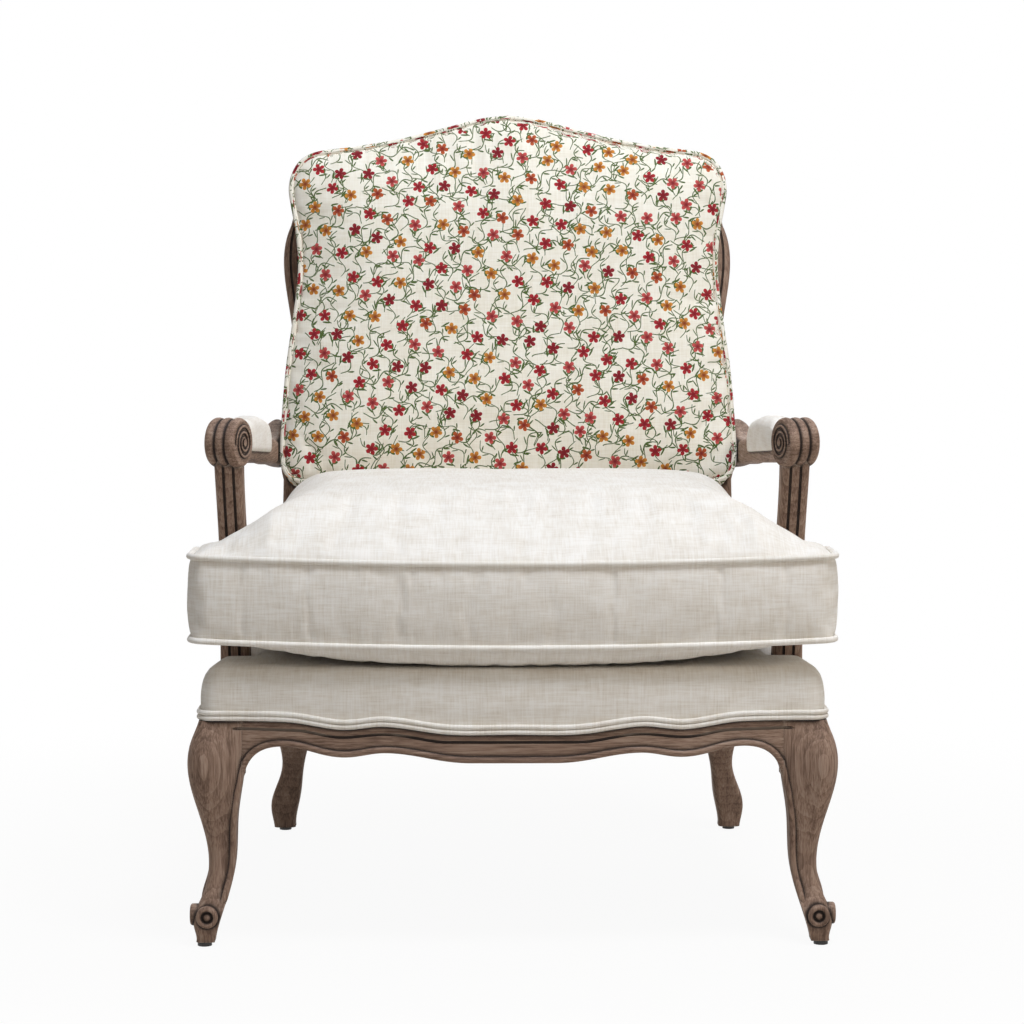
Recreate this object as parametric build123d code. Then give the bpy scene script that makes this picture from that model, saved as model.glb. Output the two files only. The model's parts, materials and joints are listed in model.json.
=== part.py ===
from build123d import *
import os
from math import cos, radians, sin, sqrt, tan

# French provincial armchair: carved show-wood frame, webbed deck, loose seat and back cushions.
# Millimetres, +Z up, front towards -Y, origin on the floor under the middle of the chair.
# Right-hand pieces are modelled on +X and mirrored for the left.

# Placing
FRONT_Y = -361.0            # front face of the front leg blocks
CLEARANCE = 0.3             # loose and soft pieces stand this far off their neighbours

# Foot glides
GLIDE_HEIGHT = 5.0
GLIDE_RADIUS = 8.5
GLIDE_STEM_RADIUS = 2.0
GLIDE_STEM_LENGTH = 12.0
GLIDE_PLAY = 0.1

# Front legs
LEG_SPACING = 636.0         # between the inner faces of the two blocks
LEG_BLOCK = 51.0            # square block that takes the rails
KNEE_SWELL = 14.0           # how far the knee stands out past the block
KNEE_HEIGHT = 213.0
ARCH_FOOT_HEIGHT = 198.0    # where the rails' arches meet the legs
CALF_HEIGHT = 150.0
ANKLE_HEIGHT = 94.0
ANKLE_INNER = 11.0          # inner edge at the ankle, past the block's inner corner
ANKLE_WIDTH = 31.0
TOE_HEIGHT = 36.0
TOE_INNER = 26.0            # inner edge at the toe, past the block's inner corner
TOE_WIDTH = 32.5
TOE_SCROLL_RADIUS = 13.0
TOE_SCROLL_STAND = 2.5      # how far the scroll's rim stands out of the toe
LEDGE_HEIGHT = 268.0        # top of the show wood at the legs
TACKING_HEIGHT = 30.0       # plain strip above the ledge, under the fabric
TACKING_RECESS = 5.0
BEAD_RADIUS = 4.2           # rounded bead that edges the apron and legs
BEAD_SINK = 1.2             # how far its centre lies behind the face
GROOVE_RADIUS = 1.7

# Rails
FRONT_RAIL_THICKNESS = 36.0
FRONT_RAIL_BOW = 18.0
SIDE_RAIL_THICKNESS = 32.0
BACK_RAIL_THICKNESS = 26.0
BACK_RAIL_HEIGHT = 66.0
BACK_RAIL_SETBACK = 18.0    # behind the posts' front faces
HOUSING = 8.0               # how far a side rail reaches past the post's front, before it is fitted
ARCH_SPAN = 48.0            # from a leg to the crown of its arch
APRON_ARCH_HEIGHT = 239.0   # underside of the apron at its arches
APRON_DIP_HEIGHT = 227.0
APRON_RISE_HEIGHT = 232.5
APRON_CENTRE_HEIGHT = 221.0
SHOW_BAND = 9.0             # plain band above the groove
SHOW_CENTRE_DROP = 14.0     # how far the ledge falls at the middle of the front rail
SHOW_DIP_DROP = 9.0
SHOW_RISE_DROP = 5.0

# Back posts, crest and stay rail
POST_WIDTH = 38.0
POST_DEPTH = 39.0
POST_ROUND = 7.0
STILE_GROOVES = (10.0, 20.0)    # in from the outer face
POST_OUTER = 311.0          # half width over the posts at arm height
POST_FRONT = 620.0          # front of the posts at the seat, behind the front plane
POST_FOOT_FRONT = 684.0
POST_FOOT_OUTER = 333.0
POST_TOP = 856.0
RAKE_START = 505.0          # height where the straight raked stretch begins
RAKE_LEAD = 8.0             # how far the post has leaned back by then
RAKE = 9.5                  # degrees
WAIST_HEIGHT = 680.0
WAIST_DRAW = 14.0
SHOULDER_HEIGHT = 806.0
SHOULDER_SWELL = 1.0
POST_TOP_DRAW = 10.0        # how far the posts lean in from the shoulder to the crest
CREST_THICKNESS = 32.0
CREST_RISE = 478.0          # crest above the start of the rake, along the back
CREST_MIDDLE_HEIGHT = 60.0
STAY_RAIL_HEIGHT = 42.0
STAY_RAIL_THICKNESS = 28.0
STAY_RAIL_DROP = 8.0        # below the start of the rake

# Arms
KNUCKLE_RADIUS = 30.0
KNUCKLE_WIDTH = 38.0
KNUCKLE_X = 339.0
KNUCKLE_DEPTH = 92.0        # behind the front plane
KNUCKLE_HEIGHT = 589.0
KNUCKLE_TURN = 20.0         # degrees that the inner scroll face turns to the front
REEDS = 3
REED_RISE = 3.0
VOLUTE_RADII = (20.0, 16.5, 13.0, 9.5, 6.0)
VOLUTE_WIRE = 1.9
VOLUTE_EYE = 4.2
ARM_WIDTH = 33.0
ARM_HEIGHT = 32.0
ARM_ROUND = 9.0
ARM_X = 328.0               # centre line where the arm runs past the seat
ARM_FRONT_HEIGHT = 571.0    # centre line behind the knuckle
ARM_BACK_HEIGHT = 549.0     # centre line in front of the post
ARM_FLARE_HEIGHT = 62.0     # height of the arm's end on the back post
ARM_LAP = 25.0              # thickness of the arm's end beside the post
PAD_START = 165.0
PAD_LENGTH = 250.0
PAD_RISE = 27.0
PAD_WIDTH = 44.0
PAD_WRAP = 20.0             # how far the pad comes down over the arm's edges

# Arm supports
SUPPORT_X = 338.0
SUPPORT_WIDTH = 34.0
SUPPORT_FOOT_DEPTH = 165.0
SUPPORT_FOOT_LENGTH = 46.0
SUPPORT_NECK = 34.0
SUPPORT_GROOVE_OFFSET = 6.0

# Joinery
DOWEL_RADIUS = 5.0
DOWEL_LENGTH = 56.0
ARM_DOWEL_LENGTH = 32.0
DOWEL_FIT = 0.1
BLOCK_LEG = 62.0            # from a block's inner corner to its slanted face, along either rail
BLOCK_HEIGHT = 42.0
BLOCK_DROP = 8.0            # below the top of the rails
SCREW_RADIUS = 2.2
SCREW_LENGTH = 66.0
SCREW_HEAD_RADIUS = 4.6
SCREW_HEAD_HEIGHT = 3.0
SCREW_SPACING = 20.0

# Deck
STRAP_WIDTH = 52.0
STRAP_THICKNESS = 1.6
STRAP_WAVE = 1.4
STRAPS_LENGTHWISE = 5
STRAPS_ACROSS = 5
HESSIAN_THICKNESS = 1.0
DECK_PAD_THICKNESS = 24.0
COVER_THICKNESS = 2.0
DECK_ROUND = 16.0
DECK_CORNER = 20.0
DECK_INSET = 2.6            # deck face behind the show wood's face
WELT_RADIUS = 2.9
DUST_COVER_THICKNESS = 1.2

# Seat cushion
SEAT_OVERHANG = 26.0        # how far its middle stands past the leg blocks
SEAT_BOW = 20.0
SEAT_EAR_HALF = 378.0
SEAT_EAR_DEPTH = 92.0
SEAT_EAR_CROWN = 44.0
SEAT_EAR_SAG = 10.0
SEAT_NECK_HALF = 316.0
SEAT_BACK_HALF = 280.0
SEAT_BACK_DEPTH = 610.0
SEAT_BOX = 98.0
SEAT_CROWN = 82.0
SEAT_CROWN_DEPTH = 385.0    # where the crown is highest
SEAT_CROWN_FRONT = 411.0    # how far in front of that it would run out
SEAT_CROWN_FALL = 215.0     # how far behind that it would run out
SEAT_CROWN_ROLL = 3.5       # how blunt the crown is towards the front
SEAT_SWELL = ((1.0, 0.0), (0.95, 0.42), (0.86, 0.68), (0.7, 0.86), (0.4, 0.97))  # crown over the half width
SEAT_SAG = 27.0
SEAT_SETTLE = 5.0           # how much of the underside is pressed flat on the deck
SEAT_CORNER = 18.0
SEAT_EAR_NOOK = 6.0         # rounding where an ear meets the neck
SEAT_PIPING = 3.2

# Back cushion
BACK_GAP = 2.0              # between the posts and the cushion
BACK_BOX = 100.0
BACK_CROWN = 26.0
BACK_BULGE = 3.0
BACK_BOTTOM = -11.0         # along the rake, from its start
BACK_TOP = 485.0
BACK_FOOT_HALF = 304.0
BACK_WAIST_HALF = 281.0
BACK_WAIST = 275.0
BACK_SHOULDER_HALF = 293.0
BACK_SHOULDER = 388.0
BACK_CORNER = 27.0
BACK_PIPING = 3.6
PIPING_STAND = 2.0          # how far the cushions' welts stand out of their covers

# Back panels
INSIDE_PANEL_THICKNESS = 12.0
OUTSIDE_PANEL_THICKNESS = 6.0
BACK_STRAPS = 3

# Worked out from the sizes above
RAIL_TOP = LEDGE_HEIGHT + TACKING_HEIGHT
LEG_INNER = LEG_SPACING / 2
LEG_OUTER = LEG_INNER + LEG_BLOCK
WEB_TOP = RAIL_TOP + STRAP_THICKNESS + 2 * STRAP_WAVE
HESSIAN_TOP = WEB_TOP + HESSIAN_THICKNESS
PAD_BOTTOM = HESSIAN_TOP
DECK_TOP = PAD_BOTTOM + DECK_PAD_THICKNESS + COVER_THICKNESS
SEAT_BOTTOM = DECK_TOP + CLEARANCE
SEAT_WELT_LOW = SEAT_BOTTOM + SEAT_SAG
SEAT_WELT_HIGH = SEAT_WELT_LOW + SEAT_BOX
POST_INNER = POST_OUTER - POST_WIDTH
BACK_RAIL_FRONT = POST_FRONT + BACK_RAIL_SETBACK
BACK_RAIL_REAR = BACK_RAIL_FRONT + BACK_RAIL_THICKNESS
BLOCK_BOTTOM = RAIL_TOP - BLOCK_DROP - BLOCK_HEIGHT
UP_THE_BACK = (0, sin(radians(RAKE)), cos(radians(RAKE)))
OUT_OF_BACK = (0, -cos(radians(RAKE)), sin(radians(RAKE)))
FAR = 1200.0

PARTS = {}


def y_at(depth):
    """Y of a point that far behind the front face of the leg blocks."""
    return FRONT_Y + depth


# Working planes: local x runs along the piece, local y up it, the normal out of the show face
FRONT_FACE = Plane(origin=(0, FRONT_Y, 0), x_dir=(1, 0, 0), z_dir=(0, -1, 0))
SIDE_RUN = Vector(POST_OUTER - LEG_OUTER, POST_FRONT - LEG_BLOCK, 0)
SIDE_LENGTH = SIDE_RUN.length
SIDE_AXIS = SIDE_RUN.normalized()
SIDE_OUT = Vector(SIDE_AXIS.Y, -SIDE_AXIS.X, 0)
SIDE_FACE = Plane(origin=(LEG_OUTER, y_at(LEG_BLOCK), 0), x_dir=SIDE_AXIS, z_dir=SIDE_OUT)
BACK_FACE = Plane(origin=(0, y_at(POST_FRONT + RAKE_LEAD), RAKE_START), x_dir=(1, 0, 0), z_dir=OUT_OF_BACK)


def side_x(depth, inward=0.0):
    """X of the right side rail's outer face at a depth, or of a line parallel to it further in."""
    along = (depth - LEG_BLOCK) / SIDE_AXIS.Y
    return LEG_OUTER + SIDE_AXIS.X * along - inward / SIDE_AXIS.Y


def mirrored(shape):
    """The same piece on the other side of the chair."""
    return mirror(shape, about=Plane.YZ)


def both_sides(shape):
    """A right-hand cutter or piece together with its mirror image."""
    return shape + mirrored(shape)


def pair(name, shape):
    """Keeps a right-hand piece and its mirror image."""
    PARTS[name + "_right"] = shape
    PARTS[name + "_left"] = mirrored(shape)


def group(name, solids):
    """Keeps several separate solids under one name."""
    PARTS[name] = Compound(children=[solid for shape in solids for solid in shape.solids()])


def block(x, depth, z):
    """A box from three (low, high) pairs, with depth counted from the front plane."""
    centre = ((x[0] + x[1]) / 2, y_at((depth[0] + depth[1]) / 2), (z[0] + z[1]) / 2)
    return Pos(*centre) * Box(x[1] - x[0], depth[1] - depth[0], z[1] - z[0])


def rod(start, direction, length, radius):
    """A plain cylinder from a point along a direction."""
    return extrude(Plane(origin=start, z_dir=direction) * Circle(radius), length)


def pipe(path, radius):
    """A round cord along a path."""
    return sweep(Plane(origin=path @ 0, z_dir=path % 0) * Circle(radius), path=path)


def prism(edges, low, high):
    """An upright prism over a closed plan outline."""
    return extrude(Pos(0, 0, low) * make_face(edges), high - low)


def closed(points):
    """Straight edges round a list of points and back to the first."""
    return [Line(a, b) for a, b in zip(points, points[1:] + points[:1])]


def mirror_keys(keys):
    """Keys for the right half of a curve (along, height, direction), completed on the left."""
    left = [(-a, h, (d[0], -d[1])) for a, h, d in reversed(keys) if a > 0]
    return left + list(keys)


def key_line(keys, lift=0.0):
    """A smooth flat curve through keys."""
    return Spline(*[(a, h + lift) for a, h, d in keys], tangents=[d for a, h, d in keys])


def span(start, end, first_way, last_way):
    """One smooth edge between two points, straight if both directions lie along it."""
    start, end = Vector(*start), Vector(*end)
    along = (end - start).normalized()
    turns = [along.cross(Vector(*way).normalized()).length for way in (first_way, last_way)]
    if max(turns) < 0.001:
        return Line(start, end)
    return Spline(start, end, tangents=[first_way, last_way])


def cubic_run(points, ways):
    """Smooth edges from point to point, with a set direction at each."""
    return [span(*ends) for ends in zip(points, points[1:], ways, ways[1:])]


def key_run(keys, lift=0.0):
    """Smooth flat edges from key to key."""
    return cubic_run([(a, h + lift) for a, h, d in keys], [d for a, h, d in keys])


# Front legs

def cabriole():
    """Height, inner edge, outer corner, face and corner radius of a front leg, from foot to ledge."""
    knee = LEG_BLOCK + KNEE_SWELL
    ankle = ANKLE_INNER + ANKLE_WIDTH
    toe = TOE_INNER + TOE_WIDTH
    return (
        (GLIDE_HEIGHT, TOE_INNER + 8, toe - 2.5, toe - 3.5, 6.0),
        (TOE_HEIGHT - TOE_SCROLL_RADIUS, TOE_INNER + 4, toe, toe - 1, 8.0),
        (TOE_HEIGHT, TOE_INNER, toe, toe - 1, 9.0),
        (TOE_HEIGHT + 22, TOE_INNER - 7, toe - 9, toe - 10.5, 10.0),
        (ANKLE_HEIGHT, ANKLE_INNER, ankle, ankle - 2, 10.0),
        (CALF_HEIGHT, ANKLE_INNER - 3, ankle + 9, ankle + 5, 14.0),
        (ARCH_FOOT_HEIGHT - 18, 4.0, knee - 5.5, LEG_BLOCK - 0.5, 18.0),
        (KNEE_HEIGHT, 0.0, knee, LEG_BLOCK, 22.0),
        (LEDGE_HEIGHT - 26, 0.0, knee - 4, LEG_BLOCK, 18.0),
        (LEDGE_HEIGHT, 0.0, LEG_BLOCK, LEG_BLOCK - 0.5, 8.0),
    )


def leg_face(height, inner, outer, face, corner):
    """Plan of the right front leg at one height, with set-outs from the block's inner corner."""
    def plan(out, forward):
        return (LEG_INNER + out, y_at(LEG_BLOCK) - forward, height)

    bend = outer - corner * (1 - 1 / sqrt(2))
    return make_face([
        Line(plan(inner, inner), plan(inner, face)),
        Line(plan(inner, face), plan(outer - corner, outer)),
        ThreePointArc(plan(outer - corner, outer), plan(bend, bend), plan(outer, outer - corner)),
        Line(plan(outer, outer - corner), plan(face, inner)),
        Line(plan(face, inner), plan(inner, inner)),
    ])


def on_leg_diagonal(shape):
    """The leg's side face repeats its front face across the block's diagonal."""
    return mirror(shape, about=Plane(origin=(LEG_INNER, y_at(LEG_BLOCK), 0), z_dir=(1, 1, 0)))


def toe_scroll():
    """Carved volute on the toe's front face: a rim bead round a domed eye."""
    bead = TOE_SCROLL_RADIUS / 4
    eye = TOE_SCROLL_RADIUS / 2
    across = LEG_INNER + TOE_INNER + TOE_WIDTH / 2
    forward = TOE_INNER + TOE_WIDTH - 1 + TOE_SCROLL_STAND
    face = Plane(origin=(across, y_at(LEG_BLOCK) - forward, TOE_HEIGHT), x_dir=(1, 0, 0), z_dir=(0, -1, 0))
    drum = extrude(face * Circle(TOE_SCROLL_RADIUS), -TOE_WIDTH / 2)
    rim = face * Torus(TOE_SCROLL_RADIUS - bead, bead)
    return drum + rim + face.offset(-eye / 2) * Sphere(eye)


def leg_bead():
    """Bead up the front face's inner edge, from the scroll to the crown of the apron's arch."""
    inside = BEAD_RADIUS * 0.8
    root = TOE_HEIGHT + TOE_SCROLL_RADIUS - 1
    sunk = TOE_INNER + TOE_WIDTH - 2 * BEAD_RADIUS - 2
    points = [Vector(LEG_INNER + TOE_INNER - 3 + inside, y_at(LEG_BLOCK - sunk), root)]
    for height, inner, outer, face, corner in cabriole()[3:7]:
        points.append(Vector(LEG_INNER + inner + inside, y_at(LEG_BLOCK - face + BEAD_SINK), height))
    ways = [(points[min(i + 1, 4)] - points[max(i - 1, 0)]).normalized() for i in range(5)]
    points.append(Vector(LEG_INNER + inside, y_at(BEAD_SINK), ARCH_FOOT_HEIGHT))
    ways.append(Vector(-0.15, 0, 1))
    points.append(Vector(LEG_INNER - ARCH_SPAN, y_at(BEAD_SINK), APRON_ARCH_HEIGHT + inside))
    ways.append(Vector(-1, 0, 0))
    bead = pipe(Wire(cubic_run(points, ways)), BEAD_RADIUS)
    below = block((0, FAR), (-FAR, LEG_BLOCK), (0, ARCH_FOOT_HEIGHT - 1))
    return bead & (below + block((LEG_INNER, FAR), (-FAR, LEG_BLOCK), (0, FAR)))


def leg_groove():
    """Groove round the top of the leg, in line with the rails' grooves."""
    height = LEDGE_HEIGHT - SHOW_BAND
    swell = KNEE_SWELL * 0.42

    def plan(out, forward):
        return (LEG_INNER + out, y_at(LEG_BLOCK) - forward, height)

    far = LEG_BLOCK + swell
    near = far - 13
    bend = far - 13 * (1 - 1 / sqrt(2))
    points = [plan(-1, LEG_BLOCK), plan(near, far), plan(bend, bend), plan(far, near), plan(LEG_BLOCK, -1)]
    line = Spline(*points)
    return pipe(line, GROOVE_RADIUS)


def leg_tacking():
    """Plain top of the leg, set back from the show faces, with its outer corner rounded like the deck's."""
    reach = (LEG_INNER, LEG_OUTER - TACKING_RECESS)
    top = block(reach, (TACKING_RECESS, LEG_BLOCK), (LEDGE_HEIGHT - 1, RAIL_TOP))
    corner = top.edges().filter_by(Axis.Z).sort_by(lambda edge: edge.center().X - edge.center().Y)[-1]
    return fillet(corner, DECK_CORNER - TACKING_RECESS)


def front_leg():
    """Right cabriole leg with its block, scroll toes, beads and glide hole."""
    carved = loft([leg_face(*station) for station in cabriole()])
    carved = carved & block((LEG_INNER, FAR), (-FAR, LEG_BLOCK), (0, FAR))
    core = (LEG_INNER, LEG_OUTER - 1)
    carved = carved + block(core, (1, LEG_BLOCK), (ARCH_FOOT_HEIGHT, LEDGE_HEIGHT))
    carved = carved + leg_tacking() - leg_groove()
    bead = leg_bead()
    scroll = toe_scroll()
    for detail in (bead, on_leg_diagonal(bead), scroll, on_leg_diagonal(scroll)):
        carved = carved + detail
    return carved - glide_stem(leg_glide_point(), GLIDE_PLAY)


def leg_glide_point():
    """Middle of a front foot, on the floor."""
    out = TOE_INNER + (TOE_WIDTH + 8) / 2
    return Vector(LEG_INNER + out, y_at(LEG_BLOCK) - out, 0)


def glide(point):
    """Dark nail-on glide: a disc with a stem into the foot."""
    return rod(point, (0, 0, 1), GLIDE_HEIGHT, GLIDE_RADIUS) + glide_stem(point, 0)


def glide_stem(point, play):
    """Stem of a glide, or the hole for it."""
    start = point + Vector(0, 0, GLIDE_HEIGHT - 1)
    return rod(start, (0, 0, 1), GLIDE_STEM_LENGTH + 1 + play, GLIDE_STEM_RADIUS + play)


# Seat rails

def front_low_keys():
    """Underside of the front apron, right half."""
    return (
        (0.0, APRON_CENTRE_HEIGHT, (1, 0)),
        (50.0, APRON_CENTRE_HEIGHT, (1, 0)),
        (150.0, APRON_RISE_HEIGHT, (1, 0)),
        (198.0, APRON_DIP_HEIGHT, (1, 0)),
        (LEG_INNER - ARCH_SPAN, APRON_ARCH_HEIGHT, (1, 0)),
        (LEG_INNER, ARCH_FOOT_HEIGHT, (0.15, -1)),
    )


def front_ledge_keys():
    """Top of the front rail's show wood, right half."""
    return (
        (0.0, LEDGE_HEIGHT - SHOW_CENTRE_DROP, (1, 0)),
        (75.0, LEDGE_HEIGHT - SHOW_CENTRE_DROP, (1, 0)),
        (150.0, LEDGE_HEIGHT - SHOW_RISE_DROP, (1, 0)),
        (200.0, LEDGE_HEIGHT - SHOW_DIP_DROP, (1, 0)),
        (LEG_INNER - ARCH_SPAN - 10, LEDGE_HEIGHT - 1, (1, 0)),
        (LEG_INNER, LEDGE_HEIGHT, (1, 0)),
    )


def side_low_keys():
    """Underside of a side rail, from the front leg to the back post."""
    return (
        (0.0, ARCH_FOOT_HEIGHT, (0.15, 1)),
        (ARCH_SPAN, APRON_ARCH_HEIGHT, (1, 0)),
        (2.5 * ARCH_SPAN, APRON_DIP_HEIGHT, (1, 0)),
        (SIDE_LENGTH / 2, APRON_CENTRE_HEIGHT, (1, 0)),
        (SIDE_LENGTH + HOUSING + 4, APRON_RISE_HEIGHT, (1, 0)),
    )


def side_ledge_keys():
    """Top of a side rail's show wood, from the front leg to the back post."""
    return (
        (0.0, LEDGE_HEIGHT, (1, 0)),
        (ARCH_SPAN + 10, LEDGE_HEIGHT - 1, (1, 0)),
        (2.5 * ARCH_SPAN, LEDGE_HEIGHT - SHOW_DIP_DROP, (1, 0)),
        (SIDE_LENGTH / 2, LEDGE_HEIGHT - SHOW_DIP_DROP, (1, 0)),
        (SIDE_LENGTH + HOUSING + 4, LEDGE_HEIGHT, (1, 0)),
    )


def bow_at(x):
    """How far the front rail bows forward, and its slope, at a distance from the middle."""
    radius = (LEG_INNER ** 2 + FRONT_RAIL_BOW ** 2) / (2 * FRONT_RAIL_BOW)
    if abs(x) >= LEG_INNER:
        return 0.0, 0.0
    run = sqrt(radius ** 2 - x ** 2)
    return run - radius + FRONT_RAIL_BOW, -x / run


def front_curve(keys, lift, sink):
    """A curve that follows keys along the front rail's bowed face, sunk behind it."""
    points = []
    tangents = []
    for along, height, way in mirror_keys(keys):
        bow, slope = bow_at(along)
        points.append((along, FRONT_Y - bow + sink, height + lift))
        tangents.append((way[0], -slope * way[0], way[1]))
    return Wire(cubic_run(points, tangents))


def side_curve(keys, lift, sink):
    """A curve that follows keys along the right side rail's face, sunk behind it."""
    points = [SIDE_FACE.from_local_coords((a, h + lift, -sink)) for a, h, way in keys]
    tangents = [SIDE_AXIS * way[0] + Vector(0, 0, way[1]) for a, h, way in keys]
    return Wire(cubic_run(points, tangents))


def bead_keys(keys):
    """Keys for the bead: above the underside, and past it where an arch ends at a leg."""
    ends = {ARCH_FOOT_HEIGHT}
    moved = []
    for along, height, way in keys:
        if height in ends:
            shift = BEAD_RADIUS * 0.8 if along > 1 else -BEAD_RADIUS * 0.8
            moved.append((along + shift, height, way))
        else:
            moved.append((along, height + BEAD_RADIUS * 0.8, way))
    return moved


def front_bead():
    """Bead along the whole front apron."""
    return pipe(front_curve(bead_keys(front_low_keys()), 0.0, BEAD_SINK), BEAD_RADIUS)


def side_bead():
    """Bead along the right side rail."""
    return pipe(side_curve(bead_keys(side_low_keys()), 0.0, BEAD_SINK), BEAD_RADIUS)


def rail_body(plane, low_keys, ledge_keys, plan, keep):
    """A rail cut to its serpentine underside, grooved, and set back above the ledge but where kept full."""
    low = key_run(low_keys)
    ledge = key_run(ledge_keys)
    start = low[0] @ 0
    end = low[-1] @ 1
    high = RAIL_TOP + 20
    whole = low + [
        Line(end, (end.X, RAIL_TOP)),
        Line((end.X, RAIL_TOP), (start.X, RAIL_TOP)),
        Line((start.X, RAIL_TOP), start),
    ]
    above = ledge + [
        Line(ledge[-1] @ 1, (end.X, high)),
        Line((end.X, high), (start.X, high)),
        Line((start.X, high), ledge[0] @ 0),
    ]
    rail = extrude(plane * make_face(whole), 60, both=True) & plan(0)
    set_back = extrude(plane * make_face(above), 60, both=True) - plan(TACKING_RECESS)
    if keep is not None:
        set_back = set_back - keep
    upper = key_run(ledge_keys, GROOVE_RADIUS - SHOW_BAND)
    lower = key_run(ledge_keys, -GROOVE_RADIUS - SHOW_BAND)
    ends = [Line(upper[0] @ 0, lower[0] @ 0), Line(upper[-1] @ 1, lower[-1] @ 1)]
    band = make_face(upper + lower + ends)
    groove = extrude(plane * band, 60, both=True) - plan(GROOVE_RADIUS)
    return rail - set_back - groove


def front_plan(inset):
    """Upright prism over the front rail's bowed plan."""
    front = FRONT_Y + inset
    rear = FRONT_RAIL_THICKNESS
    return prism([
        ThreePointArc((-LEG_INNER, front), (0, front - FRONT_RAIL_BOW), (LEG_INNER, front)),
        Line((LEG_INNER, front), (LEG_INNER, y_at(rear))),
        Line((LEG_INNER, y_at(rear)), (-LEG_INNER, y_at(rear))),
        Line((-LEG_INNER, y_at(rear)), (-LEG_INNER, front)),
    ], 0, FAR)


def front_rail(bead):
    """Bowed front rail with its serpentine apron, bead and groove."""
    low = mirror_keys(front_low_keys())
    ledge = mirror_keys(front_ledge_keys())
    rail = rail_body(FRONT_FACE, low, ledge, front_plan, None)
    return rail + (bead & block((-LEG_INNER, LEG_INNER), (-FAR, FAR), (0, FAR)))


def side_plan(inset):
    """Upright prism over the right side rail's plan."""
    inner = -SIDE_RAIL_THICKNESS
    end = SIDE_LENGTH + HOUSING
    corners = [(0, -inset), (end, -inset), (end, inner), (0, inner)]
    points = [SIDE_FACE.from_local_coords((a, 0, c)) for a, c in corners]
    return prism(closed([(p.X, p.Y) for p in points]), 0, FAR)


def support_boss():
    """Stretch of side rail that stays full thickness under the arm support."""
    reach = SUPPORT_FOOT_LENGTH / 2 + 0.5
    return block((0, FAR), (SUPPORT_FOOT_DEPTH - reach, SUPPORT_FOOT_DEPTH + reach), (0, FAR))


def side_rail(bead, post):
    """Right side rail, housed between the front leg and the back post."""
    rail = rail_body(SIDE_FACE, side_low_keys(), side_ledge_keys(), side_plan, support_boss())
    rail = rail & block((0, FAR), (LEG_BLOCK, FAR), (0, FAR))
    rail = rail + (bead & block((0, FAR), (LEG_BLOCK, POST_FRONT + 4), (0, FAR)))
    return rail - post


def back_rail(posts):
    """Plain rail between the back posts at the seat."""
    depth = (BACK_RAIL_FRONT, BACK_RAIL_REAR)
    return block((-POST_INNER - 12, POST_INNER + 12), depth, (RAIL_TOP - BACK_RAIL_HEIGHT, RAIL_TOP)) - posts


# Back frame

def post_front(height):
    """Depth of the posts' front face on the raked stretch."""
    return POST_FRONT + RAKE_LEAD + (height - RAKE_START) * tan(radians(RAKE))


def post_stations():
    """Height, outer face, front face, width and depth of a back post, from foot to top."""
    wide = POST_WIDTH
    deep = POST_DEPTH
    mid = (RAKE_START + WAIST_HEIGHT) / 2
    high = (WAIST_HEIGHT + SHOULDER_HEIGHT) / 2
    waist = POST_OUTER - WAIST_DRAW
    shoulder = POST_OUTER + SHOULDER_SWELL
    return (
        (GLIDE_HEIGHT, POST_FOOT_OUTER - 2, POST_FOOT_FRONT + 1, wide - 8, deep - 8),
        (TOE_HEIGHT - 14, POST_FOOT_OUTER + 1, POST_FOOT_FRONT - 1, wide - 4, deep - 3),
        (TOE_HEIGHT, POST_FOOT_OUTER + 2, POST_FOOT_FRONT - 6, wide, deep + 3),
        (TOE_HEIGHT + 28, POST_FOOT_OUTER - 5, POST_FOOT_FRONT - 16, wide - 2, deep + 1),
        (CALF_HEIGHT - 25, POST_OUTER + 8, POST_FRONT + 22, wide, deep + 5),
        (ARCH_FOOT_HEIGHT, POST_OUTER + 3, POST_FRONT + 5, wide + 2, deep + 9),
        (LEDGE_HEIGHT, POST_OUTER + 2, POST_FRONT, wide + 2, deep + 11),
        (RAIL_TOP + 50, POST_OUTER + 2, POST_FRONT, wide + 2, deep + 9),
        (RAKE_START - 65, POST_OUTER + 1, POST_FRONT + 1.5, wide + 1, deep + 4),
        (RAKE_START - 30, POST_OUTER + 0.5, POST_FRONT + 4, wide + 0.5, deep + 2),
        (RAKE_START, POST_OUTER, post_front(RAKE_START), wide, deep),
        (mid, POST_OUTER - WAIST_DRAW / 3, post_front(mid), wide, deep - 2),
        (WAIST_HEIGHT, waist, post_front(WAIST_HEIGHT), wide - 1, deep - 4),
        (high, (waist + shoulder) / 2, post_front(high), wide - 1, deep - 5.5),
        (SHOULDER_HEIGHT, shoulder, post_front(SHOULDER_HEIGHT), wide, deep - 6.5),
        (POST_TOP, shoulder - POST_TOP_DRAW, post_front(POST_TOP), wide, deep - 7),
    )


def post_loft(stations):
    """A stretch of the right back post through its stations."""
    sections = []
    for height, outer, front, wide, deep in stations:
        place = Pos(outer - wide / 2, y_at(front + deep / 2), height)
        sections.append(place * RectangleRounded(wide, deep, POST_ROUND))
    return loft(sections)


def stile_groove(stations, offset):
    """Groove up the front of a stile, a set way in from its outer face."""
    points = [Vector(outer - offset, y_at(front), height) for height, outer, front, wide, deep in stations]
    points[0] = points[0] - Vector(*UP_THE_BACK) * 2
    points[-1] = points[-1] + Vector(*UP_THE_BACK) * 12
    return pipe(Spline(*points), GROOVE_RADIUS)


def rear_leg():
    """Lower half of the right back post, from the foot to the start of the rake."""
    stations = [station for station in post_stations() if station[0] <= RAKE_START]
    return post_loft(stations) - glide_stem(post_glide_point(), GLIDE_PLAY)


def stile():
    """Upper half of the right back post, waisted and grooved."""
    stations = [station for station in post_stations() if station[0] >= RAKE_START]
    post = post_loft(stations)
    for offset in STILE_GROOVES:
        post = post - stile_groove(stations, offset)
    return post


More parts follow.
